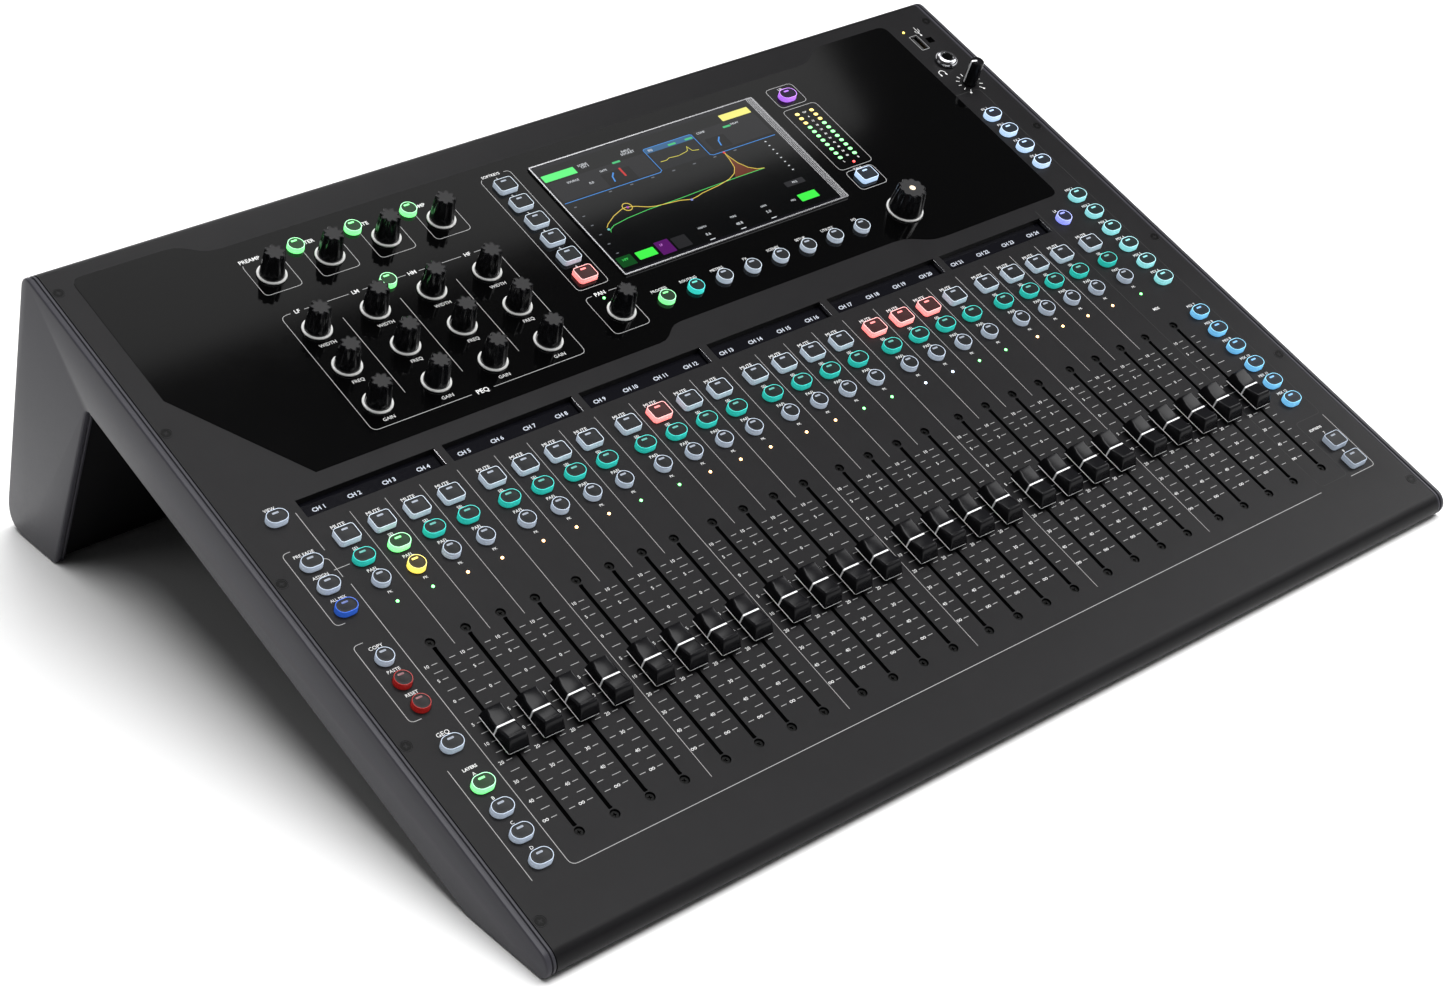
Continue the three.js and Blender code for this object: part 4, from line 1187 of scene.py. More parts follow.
def build_picture(left, right, low, high):
    """What the touch display shows: tiles, tab outline, response curves and small values."""

    def at(u, v):
        return (left + u * (right - left), low + v * (high - low))

    def tile(u0, v0, u1, v1, glow, level=0):
        path = softened(framed(*at(u0, v0), *at(u1, v1)), 0.5, closed=True, steps=2)
        form.lit(glow, form.slab, path, SCREEN_FACE, SCREEN_FACE + 0.02 + 0.03 * level)

    def line(places, width, glow, level=2):
        path = [at(*place) for place in places]
        form.lit(glow, form.strip, path, width, SCREEN_FACE, SCREEN_FACE + 0.02 + 0.03 * level)

    def text(words, u, v, size, glow, weight):
        form.lit(glow, form.words, words, *at(u, v), size, SCREEN_FACE + 0.16, weight=weight)

    form = Form()
    deep, panel, bar = (0.0006, 0.0009, 0.0012), (0.010, 0.010, 0.012), (0.03, 0.12, 0.26)
    blue, green, leaf = (0.06, 0.28, 0.75), (0.06, 0.95, 0.08), (0.004, 0.07, 0.012)
    yellow, red, dim = (0.85, 0.75, 0.10), (0.60, 0.03, 0.03), (0.16, 0.17, 0.19)
    lemon, purple, white = (0.95, 0.90, 0.22), (0.10, 0.008, 0.14), (0.75, 0.78, 0.82)
    amber = (0.85, 0.62, 0.10)
    tile(-0.005, 0.0, 1.01, 0.985, deep)
    tile(0.0, 0.865, 0.145, 0.925, (0.12, 0.95, 0.22), 1)
    tile(0.845, 0.90, 0.985, 0.958, lemon, 1)
    tile(0.0, 0.67, 0.44, 0.85, panel, 1)
    tile(0.69, 0.68, 0.99, 0.89, panel, 1)
    tile(0.455, 0.665, 0.672, 0.835, (0.006, 0.007, 0.009), 1)
    tile(0.452, 0.835, 0.675, 0.878, bar, 2)
    tile(0.215, 0.67, 0.345, 0.79, (0.001, 0.001, 0.0015), 2)
    tile(0.71, 0.69, 0.80, 0.80, (0.001, 0.001, 0.0015), 2)
    line([(0.0, 0.655), (0.437, 0.655), (0.449, 0.668), (0.449, 0.872), (0.455, 0.88),
          (0.672, 0.88), (0.678, 0.872), (0.678, 0.668), (0.69, 0.655), (0.99, 0.655)],
         0.42, blue, 3)
    for u in (0.314, 0.575, 0.655, 0.84):
        tile(u - 0.018, 0.842, u + 0.018, 0.858, (0.06, 0.55, 0.20), 3)
    line([(0.474, 0.737), (0.50, 0.735), (0.517, 0.747), (0.56, 0.74), (0.598, 0.751),
          (0.61, 0.757), (0.62, 0.791), (0.628, 0.745), (0.655, 0.735)], 0.3, yellow, 4)
    for u, v in ((0.247, 0.70), (0.752, 0.71)):
        line([(u, v), (u + 0.006, v + 0.045), (u + 0.022, v + 0.075)], 0.9, blue, 4)
    tile(0.300, 0.717, 0.3085, 0.798, red, 4)
    for k in range(7):
        tile(0.19 + 0.098 * k, 0.632, 0.205 + 0.098 * k, 0.640, dim, 2)
    for k in range(6):
        tile(0.02, 0.60 - 0.09 * k, 0.032, 0.608 - 0.09 * k, dim, 2)
    for k in range(8):
        tile(0.925, 0.62 - 0.042 * k, 0.934, 0.628 - 0.042 * k, white, 2)
    line([(0.070, 0.325), (0.076, 0.346), (0.10, 0.369), (0.173, 0.389), (0.272, 0.401),
          (0.416, 0.403), (0.519, 0.410), (0.673, 0.416), (0.83, 0.418)],
         0.34, (0.10, 0.75, 0.16), 3)
    rise = [(0.07, 0.37), (0.085, 0.394), (0.13, 0.44), (0.18, 0.472), (0.206, 0.475),
            (0.239, 0.456), (0.28, 0.42), (0.311, 0.406), (0.36, 0.398), (0.413, 0.388),
            (0.457, 0.366), (0.49, 0.374), (0.516, 0.386), (0.60, 0.402), (0.662, 0.423),
            (0.70, 0.455), (0.722, 0.501), (0.732, 0.575), (0.736, 0.645)]
    fall = [(0.740, 0.60), (0.750, 0.53), (0.772, 0.466), (0.80, 0.43), (0.83, 0.418)]
    line([*rise, *fall], 0.38, amber, 5)
    hill = [(0.69, 0.418), (0.82, 0.418), (0.785, 0.437), (0.765, 0.475), (0.745, 0.54),
            (0.736, 0.61), (0.728, 0.55), (0.715, 0.49)]
    form.lit((0.14, 0.03, 0.012), form.slab, [at(*place) for place in hill], SCREEN_FACE, 1.66)
    ring = ring_points(*at(0.206, 0.475), 3.0, 24)
    form.lit(amber, form.strip, ring, 0.4, SCREEN_FACE, 1.80, closed=True)
    for u, v, glow in ((0.206, 0.470, (0.45, 0.08, 0.50)), (0.457, 0.363, (0.25, 0.30, 0.75)),
                       (0.736, 0.645, (0.8, 0.05, 0.05)), (0.07, 0.352, (0.2, 0.6, 0.55))):
        form.lit(glow, form.slab, ring_points(*at(u, v), 0.8, 12), SCREEN_FACE, 1.84)
    tile(0.0, 0.03, 0.065, 0.118, leaf, 2)
    tile(0.083, 0.045, 0.165, 0.112, green, 2)
    tile(0.178, 0.02, 0.240, 0.135, purple, 2)
    tile(0.25, 0.025, 0.315, 0.125, (0.020, 0.020, 0.022), 2)
    for u in (0.36, 0.505, 0.65):
        tile(u, 0.02, u + 0.085, 0.10, (0.0012, 0.0012, 0.0014), 2)
        tile(u + 0.028, 0.008, u + 0.052, 0.014, white, 3)
    tile(0.845, 0.205, 0.935, 0.25, (0.03, 0.03, 0.033), 2)
    tile(0.85, 0.055, 0.935, 0.12, green, 2)
    for u, v, words, size in (
            (0.185, 0.915, "SCENE", 2.3), (0.19, 0.895, "CH 1", 2.6), (0.385, 0.915, "INPUT", 2.3),
            (0.385, 0.893, "SOCKET", 2.6), (0.475, 0.855, "EQ", 2.4), (0.72, 0.865, "COMP", 2.2),
            (0.88, 0.855, "DELAY", 2.0), (0.24, 0.815, "GATE", 2.0), (0.10, 0.81, "SOURCE", 2.2),
            (0.16, 0.75, "0.0", 2.6), (0.40, 0.059, "0.6", 2.8), (0.546, 0.057, "48.8", 2.8),
            (0.691, 0.069, "5.0", 2.8), (0.40, 0.125, "WIDTH", 1.8), (0.546, 0.125, "FREQ", 1.8),
            (0.691, 0.125, "GAIN", 1.8), (0.89, 0.228, "PEQ", 2.0), (0.82, 0.09, "PEQ", 1.8)):
        text(words, u, v, size, white, 0.0)
    text("HPF", 0.032, 0.085, 2.4, (0.05, 0.6, 0.1), 0.03)
    text("LF", 0.20, 0.10, 2.2, (0.6, 0.2, 0.7), 0.03)
    form.piece("touch_screen_picture", (screen_light(),), "screen_glass")


# ------------------------------------------------------------------ keys, knobs and caps


@lru_cache(maxsize=None)
def key_parts(shape):
    """The wall, face and bar of one key, as masters about the key's own middle."""
    wall_width = sizes().key_wall
    wall, face, bar = Form(), Form(), Form()
    wall.shaped(0, 0, shape, (
        (-3.4, 0.1), (1.45, 0.1), (1.6, -0.05), (1.75, -0.05), (1.85, 0.03),
        (KEY_HEIGHT - 0.45, 0.0), (KEY_HEIGHT - 0.08, -0.05), (KEY_HEIGHT, -0.2),
        (KEY_HEIGHT - 0.04, -wall_width), (KEY_HEIGHT - 0.5, -wall_width - 0.02),
    ), steps=5)
    face.shaped(0, 0, shape, (
        (KEY_HEIGHT - 0.5, -wall_width - 0.03), (KEY_HEIGHT - 0.16, -wall_width - 0.03),
        (KEY_HEIGHT - 0.12, -wall_width - 0.3), (KEY_HEIGHT - 0.22, -2.2),
    ), steps=5)
    length = shape[1]
    bar_shape = (3.6, 1.1, 0.4)
    bar.shaped(0, length / 2 - 2.4, bar_shape, (
        (KEY_HEIGHT - 0.3, 0.0), (KEY_HEIGHT - 0.10, 0.0), (KEY_HEIGHT - 0.05, -0.08),
    ), steps=2)
    return wall, face, bar


def build_keys(mat):
    """One mat of keys: milky walls, dark faces and lit bars."""
    specs = key_specs()[mat]
    parts = (Form(), Form(), Form())
    for shape in (SQUARE, OVAL, ROUND):
        chosen = [spec for spec in specs if spec[2] == shape]
        if not chosen:
            continue
        spots = [(x, s, 0.0, 0.0, light(glow, power)) for x, s, _, glow, power, _ in chosen]
        for part, master in zip(parts, key_parts(shape)):
            part.copies(master, spots)
    finishes = (key_wall(), key_face(), key_bar())
    for index, (part, name) in enumerate(zip(parts, ("walls", "faces", "bars"))):
        nodes = (mat,) if index == 0 else ()
        part.piece(f"{mat}_{name}", (finishes[index],), "key_plastic", mat, nodes)


def knob_form(ring, base, top, height, depth, flutes=8):
    """A fluted knob on a round foot ring, about its own axis."""
    form = Form()
    foot = OVERLAY_TOP + FIT
    ring_profile = (
        (ring - 0.25, foot), (ring, foot + 0.2), (ring, foot + 0.75), (ring - 0.25, foot + 1.0),
        (base + 0.1, foot + 1.1), (base + 0.05, foot + 0.5),
    )
    form.turned(0, 0, ring_profile, 48, mark=1)
    form.turned(0, 0, ((3.0, -5.6), (3.0, foot + 0.1)), 16, mark=0)
    rise = (
        (foot + 0.3, 1.0, 0.0), (foot + 1.4, 1.0, 0.0), (foot + 2.2, 0.985, 0.12), (6.0, 0.90, 0.5),
        (height - 3.4, 0.25, 0.9), (height - 0.9, 0.04, 1.0), (height - 0.3, 0.0, 1.0),
    )
    loops = []
    points = 8 * flutes
    for n, swell, cut in rise:
        radius = top + (base - top) * swell
        loops.append([])
        for k in range(points):
            angle = 2 * math.pi * k / points
            scallop = abs(math.cos(angle * flutes / 2)) ** 3
            r = radius - depth * cut * scallop
            loops[-1].append((r * math.cos(angle), r * math.sin(angle), n))
    for shrink, n in ((0.35, height), (0.75, height), (1.0, height - 0.15)):
        loops.append([])
        for x, s, _ in loops[len(rise) - 1]:
            r = math.hypot(x, s)
            loops[-1].append((x * (r - shrink) / r, s * (r - shrink) / r, n))
    form.loft(loops, marks=[*[0] * 8, 2])
    form.marks[-1] = 2
    return form


def build_small_knobs():
    """Sixteen channel encoders and the pan encoder."""
    finishes = (knob_gloss(), ring_white(), knob_matt())
    for order, (node, x, s) in enumerate(small_knobs()):
        form = knob_form(8.3, 7.0, 5.8, 17.2, sizes().flute)
        turn = Matrix.Rotation(math.radians(11 + 7 * (order % 5)), 4, "Z")
        place = DECK @ Matrix.Translation((x, s, 0)) @ turn
        form.piece(f"{node}_fluted", finishes, "knob_black", node, (node,), place, sharp=28)


def build_screen_knob():
    """The large encoder beside the display, with a lit centre."""
    form = knob_form(11.3, 10.2, 8.5, 17.8, 1.1, 10)
    button = ((1.9, 17.2), (1.9, 17.75), (1.6, 17.8))
    form.lit((0.5, 0.40, 0.25), form.turned, 0, 0, button, 16, mark=3)
    place = DECK @ Matrix.Translation((ENCODER_X, ENCODER_S, 0))
    finishes = (knob_gloss(), ring_white(), knob_matt(), lamp_lens())
    node = "screen_knob"
    form.piece("screen_knob_fluted", finishes, "knob_black", node, (node,), place, sharp=28)


def build_phones_knob():
    """The slim level knob with its white pointer."""
    form = Form()
    height, radius = 17.8, 4.7
    profile = (
        (3.0, -5.6), (3.0, 0.5), (radius, 0.6), (radius, 1.2), (radius * 0.965, 9.0),
        (radius * 0.92, height - 1.0), (radius * 0.88, height - 0.35), (radius * 0.78, height),
    )
    form.turned(0, 0, profile, 40)
    pointer = math.radians(165)
    c, d = math.cos(pointer), math.sin(pointer)

    def at(r, across, n):
        return (c * r - d * across, d * r + c * across, n)

    half = 0.62
    loops = []
    for r, n in ((radius, 1.3), (radius * 0.965, 9.0), (radius * 0.92, height - 1.0),
                 (radius * 0.87, height - 0.3), (radius * 0.76, height)):
        loops.append([at(r - 0.25, -half, n - 0.1), at(r + 0.06, -half, n + 0.03),
                      at(r + 0.06, half, n + 0.03), at(r - 0.25, half, n - 0.1)])
    loops.append([at(0.6, -half, height - 0.1), at(0.6, -half, height + 0.04),
                  at(0.6, half, height + 0.04), at(0.6, half, height - 0.1)])
    form.loft(loops, mark=1)
    place = DECK @ Matrix.Translation((PHONES_X, PHONES_S, 0))
    node = "phones_knob"
    form.piece("phones_knob_slim", (cap_gloss(), cap_white()), "knob_black", node, (node,), place)


def cap_height(y):
    """Height of a cap's top at y from its middle: tall front and back about a dished middle."""
    front_foot, front_crest, back_crest, back_foot = -12.8, -8.6, 10.6, 12.8
    if y <= front_crest:
        t = (y - front_foot) / (front_crest - front_foot)
        return 3.1 + (10.8 - 3.1) * math.sin(t * math.pi / 2) ** 0.9
    if y >= back_crest:
        t = (back_foot - y) / (back_foot - back_crest)
        return 3.1 + (10.2 - 3.1) * math.sin(t * math.pi / 2) ** 0.8
    t = (y - front_crest) / (back_crest - front_crest)
    return 10.8 + (10.2 - 10.8) * t - 1.95 * math.sin(math.pi * t) ** 0.85


@lru_cache(maxsize=None)
def cap_form():
    """One fader cap about its own middle: white foot, black body, white line over the dish."""
    form = Form()
    lift = 2.6
    form.shaped(0, 0, (12.1, 25.6, 0.9), ((lift, -0.1), (lift + 0.1, 0.0), (lift + 0.5, 0.0),
                                           (lift + 0.8, -0.45)), steps=2, mark=1)
    form.shaped(0, 0, (1.4, 7.0, 0.3), ((-7.6, 0.0), (lift + 0.2, 0.0)), steps=1)
    half_line = sizes().cap_line / 2
    stations = [-12.75, -12.5, -12.0, -11.2, -10.2, -9.2, -8.6, -7.6, -6.0, -4.0, -2.0, -half_line,
                half_line, 2.0, 4.0, 6.0, 8.0, 9.4, 10.2, 10.6, 11.3, 11.9, 12.4, 12.75]
    loops, marks = [], []
    for y in stations:
        top = cap_height(y)
        slant = 0.134 if y < -6 else 0.216 if y > 7 else 0.148

        def side(n):
            return 6.0 - slant * (n - lift)

        edge = min(0.7, (top - 3.1) * 0.4 + 0.05)
        right = [(side(top) - edge * 1.5, top), (side(top) - edge * 0.45, top - edge * 0.12),
                 (side(top - edge), top - edge * 0.75), (side(top - edge * 2), top - edge * 1.6),
                 (side(3.15), 3.15)]
        ring = [(x, y, n) for x, n in right] + [(-x, y, n) for x, n in reversed(right)]
        loops.append(ring)
        marks.append(1 if y == -half_line else 0)
    form.loft(loops, marks=marks[:-1])
    return form


def build_caps():
    """Twenty-five fader caps."""
    nodes = [f"fader_cap_{number:02d}" for number in range(1, 25)] + ["fader_cap_main"]
    for node, x in zip(nodes, FADERS):
        place = DECK @ Matrix.Translation((x, CAP_REST, 0))
        cap_form().piece(f"{node}_moulding", (cap_gloss(), cap_white()), "cap_black", node, (node,),
                         place, sharp=40)


# ------------------------------------------------------------------ prints


def ink_at(surface=0.0):
    """Low and high n of a printed line on a surface."""
    return surface + 0.005, surface + sizes().ink


def print_scale(form, x):
    """The printed scale beside one fader slot."""
    majors = (("10", 112.4), ("5", 102.7), ("0", 89.1), ("5", 73.6), ("10", 61.2), ("20", 49.0),
              ("30", 36.7), ("40", 24.4), ("", 12.4))
    low, high = ink_at()
    for text, s in majors:
        reach = 8.4 if text == "0" else 6.4
        form.strip([(x - 7.3, s), (x - 4.0, s)], 0.34, low, high, mark=1)
        form.strip([(x + 3.0, s), (x + reach, s)], 0.34, low, high, mark=1)
        if text:
            form.words(text, x - 8.7, s, 2.8, high / 2, 0, 0.0, "RIGHT")
    loop = []
    for k in range(28):
        angle = 2 * math.pi * k / 28
        wide = 1.5 * math.cos(angle) / (1 + math.sin(angle) ** 2)
        loop.append((x - 10.4 + wide, 12.4 + 1.2 * wide * math.sin(angle)))
    form.strip(loop, 0.3, low, high, closed=True)
    places = [s for _, s in majors]
    for above, below in zip(places, places[1:]):
        s = (above + below) / 2
        form.strip([(x - 9.0, s), (x - 4.0, s)], 0.3, low, high, mark=1)
        form.strip([(x + 3.0, s), (x + 6.4, s)], 0.3, low, high, mark=1)


def key_label_places():
    """Words behind each key, as (text, x, s, size)."""
    size_for = {"MUTE": 3.2, "SEL": 2.6, "PAFL": 2.8, "ALL MIX": 2.4, "GEQ": 3.6, "COPY": 3.0}
    for mat, specs in key_specs().items():
        for x, s, shape, _, _, words in specs:
            size = size_for.get(words, 2.7)
            yield mat, words, x, s + shape[1] / 2 + 1.9 + size * 0.36, size


def print_panel():
    """Print on the painted panel: labels, fader scales, dividers and group lines."""
    form = Form()
    low, high = ink_at()
    for mat, words, x, s, size in key_label_places():
        if mat == "upper_keys":
            continue
        form.words(words, x, s, size, high / 2, 0, 0.0)
    for x in FADERS:
        form.words("PK", x, PEAK_WORD_S, 2.2, high / 2, 0, 0.0)
        print_scale(form, x)
    line = sizes().line
    left = CHANNELS[0] - 14.3
    form.strip([(left, 223.5), (left, 196.5)], line, low, high, mark=1)
    path = softened([(left, 172.6), (left, -14), (MAIN_X - 15, -14)], 4)
    form.strip(path, line, low, high, mark=1)
    for k in range(1, 24):
        x = (CHANNELS[k - 1] + CHANNELS[k]) / 2
        bottom = -5.0 if k % 4 == 0 else 118.6
        form.strip([(x, 212.6), (x, bottom)], line * 0.8, low, high, mark=1)
    x = (CHANNELS[-1] + MAIN_X) / 2
    group = [(x, 236), (x, -11), (MAIN_X + 11, -11), (MAIN_X + 11, 32), (RAIL_X, 32),
             (RAIL_X, 340), (RIGHT_X - 13, 340)]
    form.strip(softened(group, 3), line, low, high, mark=2)
    form.words("MIX", MAIN_X, 139.6, 2.8, high / 2, 0, 0.04)
    rail = LEFT_X - 10.1
    for path in ([(LEFT_X - 5, 203), (rail, 203), (rail, 153), (LEFT_X - 5, 153)],
                 [(LEFT_X + 5, 192), (LEFT_X + 9.6, 192), (LEFT_X + 9.6, 178)],
                 [(LEFT_X + 8, 183.6), (CHANNELS[0] - 8, 183.6)],
                 [(LEFT_X - 4, 139), (rail, 139), (rail, 88), (LEFT_X - 4, 88)]):
        form.strip(softened(path, 3), line, low, high, mark=1)
    form.words("LAYERS", LEFT_X, 53.5, 2.4, high / 2, 0, 0.06)
    form.strip([(rail, 57), (rail, -12)], line, low, high, mark=1)
    print_right(form, low, high, line)
    form.piece("panel_print", (ink_white(), ink_grey(), black_print_and_port_shade()), "deck_paint")


def print_right(form, low, high, line):
    """Print of the right-hand strip: an open frame by the lowest keys, ticks, and port marks."""
    path = softened([(RAIL_X, 30), (RAIL_X, -13), (RIGHT_X - 11, -13)], 3)
    form.strip(path, line, low, high, mark=1)
    form.words("SOFTKEYS", RIGHT_X - 3, 23.6, 2.2, high / 2, 0, 0.04)
    for k in range(11):
        angle = math.radians(235 - 29 * k)
        c, d = math.cos(angle), math.sin(angle)
        form.strip([(PHONES_X + r * c, PHONES_S + r * d) for r in (6.6, 8.9)], 0.5, low, high)
    for angle in (235, -55):
        x = PHONES_X + 9.7 * math.cos(math.radians(angle))
        s = PHONES_S + 9.7 * math.sin(math.radians(angle))
        form.slab(ring_points(x, s, 0.75, 12), low, high)
    ear_x, ear_s = PHONES_X - 11.0, 361.0
    form.strip(arc(ear_x, ear_s, 2.3, 200, -20, 12), 0.5, low, high)
    for side in (-1, 1):
        cup = outline(ear_x + side * 2.1, ear_s - 1.5, (1.0, 2.0, 0.4), steps=2)
        form.slab(cup, low, high)
    fork_x, fork_s = PHONES_X + 1.2, 400.2
    port = softened(framed(PHONES_X - 8.3, 383.8, PHONES_X - 2.1, 397.4), 0.6, closed=True)
    form.strip(port, 0.3, low, high, closed=True, mark=1)
    form.strip([(fork_x, fork_s - 4), (fork_x, fork_s + 4)], 0.4, low, high)
    for side, foot in ((1, fork_s - 1.5), (-1, fork_s - 2.5)):
        tine_x = fork_x + 1.6 * side
        path = [(fork_x, foot), (tine_x, foot + 1.5), (tine_x, foot + 3.5)]
        form.strip(path, 0.35, low, high)
    form.slab(ring_points(fork_x, fork_s - 4, 0.7, 12), low, high)


def print_overlay():
    """Print on the gloss overlay: knob frames, the equaliser's frame and column heads, labels."""
    form = Form()
    low, high = ink_at(OVERLAY_TOP)
    n = (low + high) / 2
    line = sizes().line
    for words, x in zip(("PREAMP", "FILTER", "GATE", "COMP"), EQ_X):
        left, right, front, back = x - 11.4, x + 12.0, TOP_KNOB_S - 13.0, TOP_KNOB_S + 13.2
        path = softened([(left + 0.6, back - 1.5), (left, back - 3.5), (left, front),
                         (right, front), (right, back), (x + 4, back)], 3.2)
        form.strip(path, line, low, high, mark=1)
        form.words(words, left - 0.4, back + 1.0, 3.6, n, 0, 0.06, "LEFT")
    for mat, words, x, s, size in key_label_places():
        if mat != "upper_keys":
            continue
        if words == "IN":
            form.words(words, x + 1.2, s - 11.6, 2.0, n, 0, 0.06)
        else:
            form.words(words, x, s, size, n, 0, 0.0)
    heads = ("LF", "LM", "HM", "HF")
    left, right = EQ_X[0] - 12.8, EQ_X[3] + 14.5
    front, back = EQ_S[2] - 15.9, EQ_S[0] + 15.8
    for k, (head, x) in enumerate(zip(heads, EQ_X)):
        form.words(head, x - 2.4, back, 3.6, n, 0, 0.06)
        if k:
            form.strip([(EQ_X[k - 1] + 2.0, back), (x - 6.5, back)], line, low, high, mark=1)
        for row, label in zip(EQ_S, ("WIDTH", "FREQ", "GAIN")):
            form.words(label, x - 0.3, row - 11.6, 3.1, n, 0, 0.0)
    path = [(EQ_X[0] - 6.5, back), (left, back), (left, front), ((left + right) / 2 - 7, front)]
    form.strip(softened(path, 4), line, low, high, mark=1)
    path = [((left + right) / 2 + 7, front), (right, front), (right, back), (EQ_X[3] + 2.0, back)]
    form.strip(softened(path, 4), line, low, high, mark=1)
    form.words("PEQ", (left + right) / 2, front, 4.2, n, 0, 0.08)
    for first, second in zip(EQ_X, EQ_X[1:]):
        x = (first + second) / 2
        form.strip([(x - 0.9, EQ_S[0] + 2), (x - 0.9, EQ_S[2] + 0.4)], line, low, high, mark=1)
    for box in ((LIBRARY_X - 10.5, 373.6, LIBRARY_X + 10.5, 391.0),
                (156.8, 313.6, 182.9, 371.0),
                (TALK_X - 10.5, 294.6, TALK_X + 10.5, 311.4)):
        form.strip(softened(framed(*box), 3.4, closed=True), line, low, high, closed=True, mark=1)
    left, right, front, back = PAN_X - 13.8, PAN_X + 10.6, PAN_S - 14.0, PAN_S + 16.3
    path = [(PAN_X - 8.5, back), (left, back), (left, front), (right, front), (right, back),
            (PAN_X + 3, back)]
    form.strip(softened(path, 3.4), line, low, high, mark=1)
    form.words("PAN", PAN_X - 2.9, back, 3.8, n, 0, 0.06)
    path = [(-34.0, 393.0), (-30.2, 393.0), (-30.2, 294.0), (-51.6, 294.0), (-51.6, 390.0),
            (-50.0, 391.5)]
    form.strip(softened(path, 3.0), line, low, high, mark=1)
    form.words("SOFTKEYS", -43.0, 393.0, 2.7, n, 0, 0.04)
    for k, words in enumerate(("CLIP", "6", "12", "18", "24", "30", "36", "42", "48", "54", "60")):
        size = 1.5 if k == 0 else 1.9
        form.words(words, METER_MIDDLE, METER_TOP - k * METER_STEP, size, n, 0, 0.04)
    for x, label in zip(METER_X, "LR"):
        form.words(label, x, METER_TOP - 10.9 * METER_STEP, 2.0, n, 0, 0.05)
    form.piece("overlay_print", (ink_white(), ink_grey()), "overlay_gloss")


# ------------------------------------------------------------------ lamps, screws and ports


def build_lamps():
    """Every small lamp: channel peaks, meters, pan, talk and power."""
    lens = Form()
    lens.turned(0, 0, ((0.85, -0.6), (0.85, 0.25), (0.7, 0.5), (0.4, 0.68)), 12)
    meter = Form()
    meter.shaped(0, 0, (3.0, 2.2, 0.9), ((-0.4, 0.0), (0.12, 0.0), (0.25, -0.2)), steps=2)
    peaks = ("green", "green", "warm", "warm", "warm", "warm", "warm", "green", "green", "warm",
             "warm", "warm", "warm", "warm", "green", "green", "white", "white", "green", "green",
             "warm", "warm", "warm", "warm", "green")
    spots = []
    for x, name in zip(FADERS, peaks):
        power = 2.6 if name == "warm" else 2.2
        spots.append((x, PEAK_S, 0.0, 0.0, light(name, power)))
    spots.append((PHONES_X - 8.9, 402.4, 0.0, 0.0, light("yellow", 1.4)))
    spots.append((PAN_X - 2.9, PAN_S + 12.4, OVERLAY_TOP, 0.0, light("green", 1.6)))
    spots.append((METER_MIDDLE, 317.2, OVERLAY_TOP, 0.0, light("red", 1.3)))
    bars = []
    for x in METER_X:
        for k in range(11):
            glow = light("yellow", 0.8) if k < 3 else light("green", 0.9)
            bars.append((x, METER_TOP - k * METER_STEP, OVERLAY_TOP, 0.0, glow))
    form = Form()
    form.copies(lens, spots)
    form.copies(meter, bars)
    form.piece("lamps", (lamp_lens(),), "key_plastic")


def screw_form(radius, cross, dish=0.35):
    """A countersunk screw head with a cross recess, its rim at n 0."""
    form = Form()
    arm, reach, floor = cross * 0.24, cross, -0.9
    rim = ring_points(0, 0, radius, 24)
    shoulder = ring_points(0, 0, radius * 0.86, 24)
    recess = []
    for k in range(24):
        angle = 2 * math.pi * k / 24
        spread = abs(math.sin(2 * angle))
        recess.append(((reach * (1 - spread) + arm * 1.6 * spread) * math.cos(angle),
                       (reach * (1 - spread) + arm * 1.6 * spread) * math.sin(angle)))
    small = [(x * 0.7, s * 0.7) for x, s in recess]
    form.loft([
        [(x * 0.6, s * 0.6, -1.8) for x, s in rim], [(*p, -dish) for p in rim],
        [(*p, -0.05) for p in shoulder], [(*p, -0.05) for p in recess],
        [(*p, floor) for p in small],
    ])
    return form


def build_screws():
    """Fader screws, and panel screws with their painted rims."""
    form = Form()
    small = screw_form(2.45, 1.4)
    places = [(x, s) for x in FADERS for s in SCREW_ROWS]
    form.copies(small, spots_at(places, -1.0, step=0.7))
    form.piece("fader_screws", (black_steel(),), "zinc_steel", sharp=30)
    form = Form()
    large = screw_form(3.0, 1.8)
    side = HALF_WIDTH - 9.8
    rows = [406.2 - 109.4 * k for k in range(5)]
    places = [(x, s) for x in (-side, side) for s in rows]
    form.copies(large, spots_at(places, 0.12, step=0.9))
    form.piece("panel_screws", (black_steel(),), "zinc_steel", sharp=30)
    rims = Form()
    for x, s in places:
        rims.turned(x, s, ((3.4, 0.0), (3.35, 0.12), (3.05, 0.14), (2.95, 0.02)), 24)
    rims.piece("panel_screw_rims", (panel_paint(),), "deck_paint")


def build_slot_liners():
    """Painted edge strips that line the right side of each fader slot."""
    form = Form()
    for x in FADERS:
        edge = x + SLOT_WIDTH / 2 - 0.05
        form.strip([(edge, SLOT_START + 1.2), (edge, SLOT_END - 1.2)], 0.22, -0.9, -0.06)
    form.piece("slot_edges", (panel_paint(),), "deck_paint")


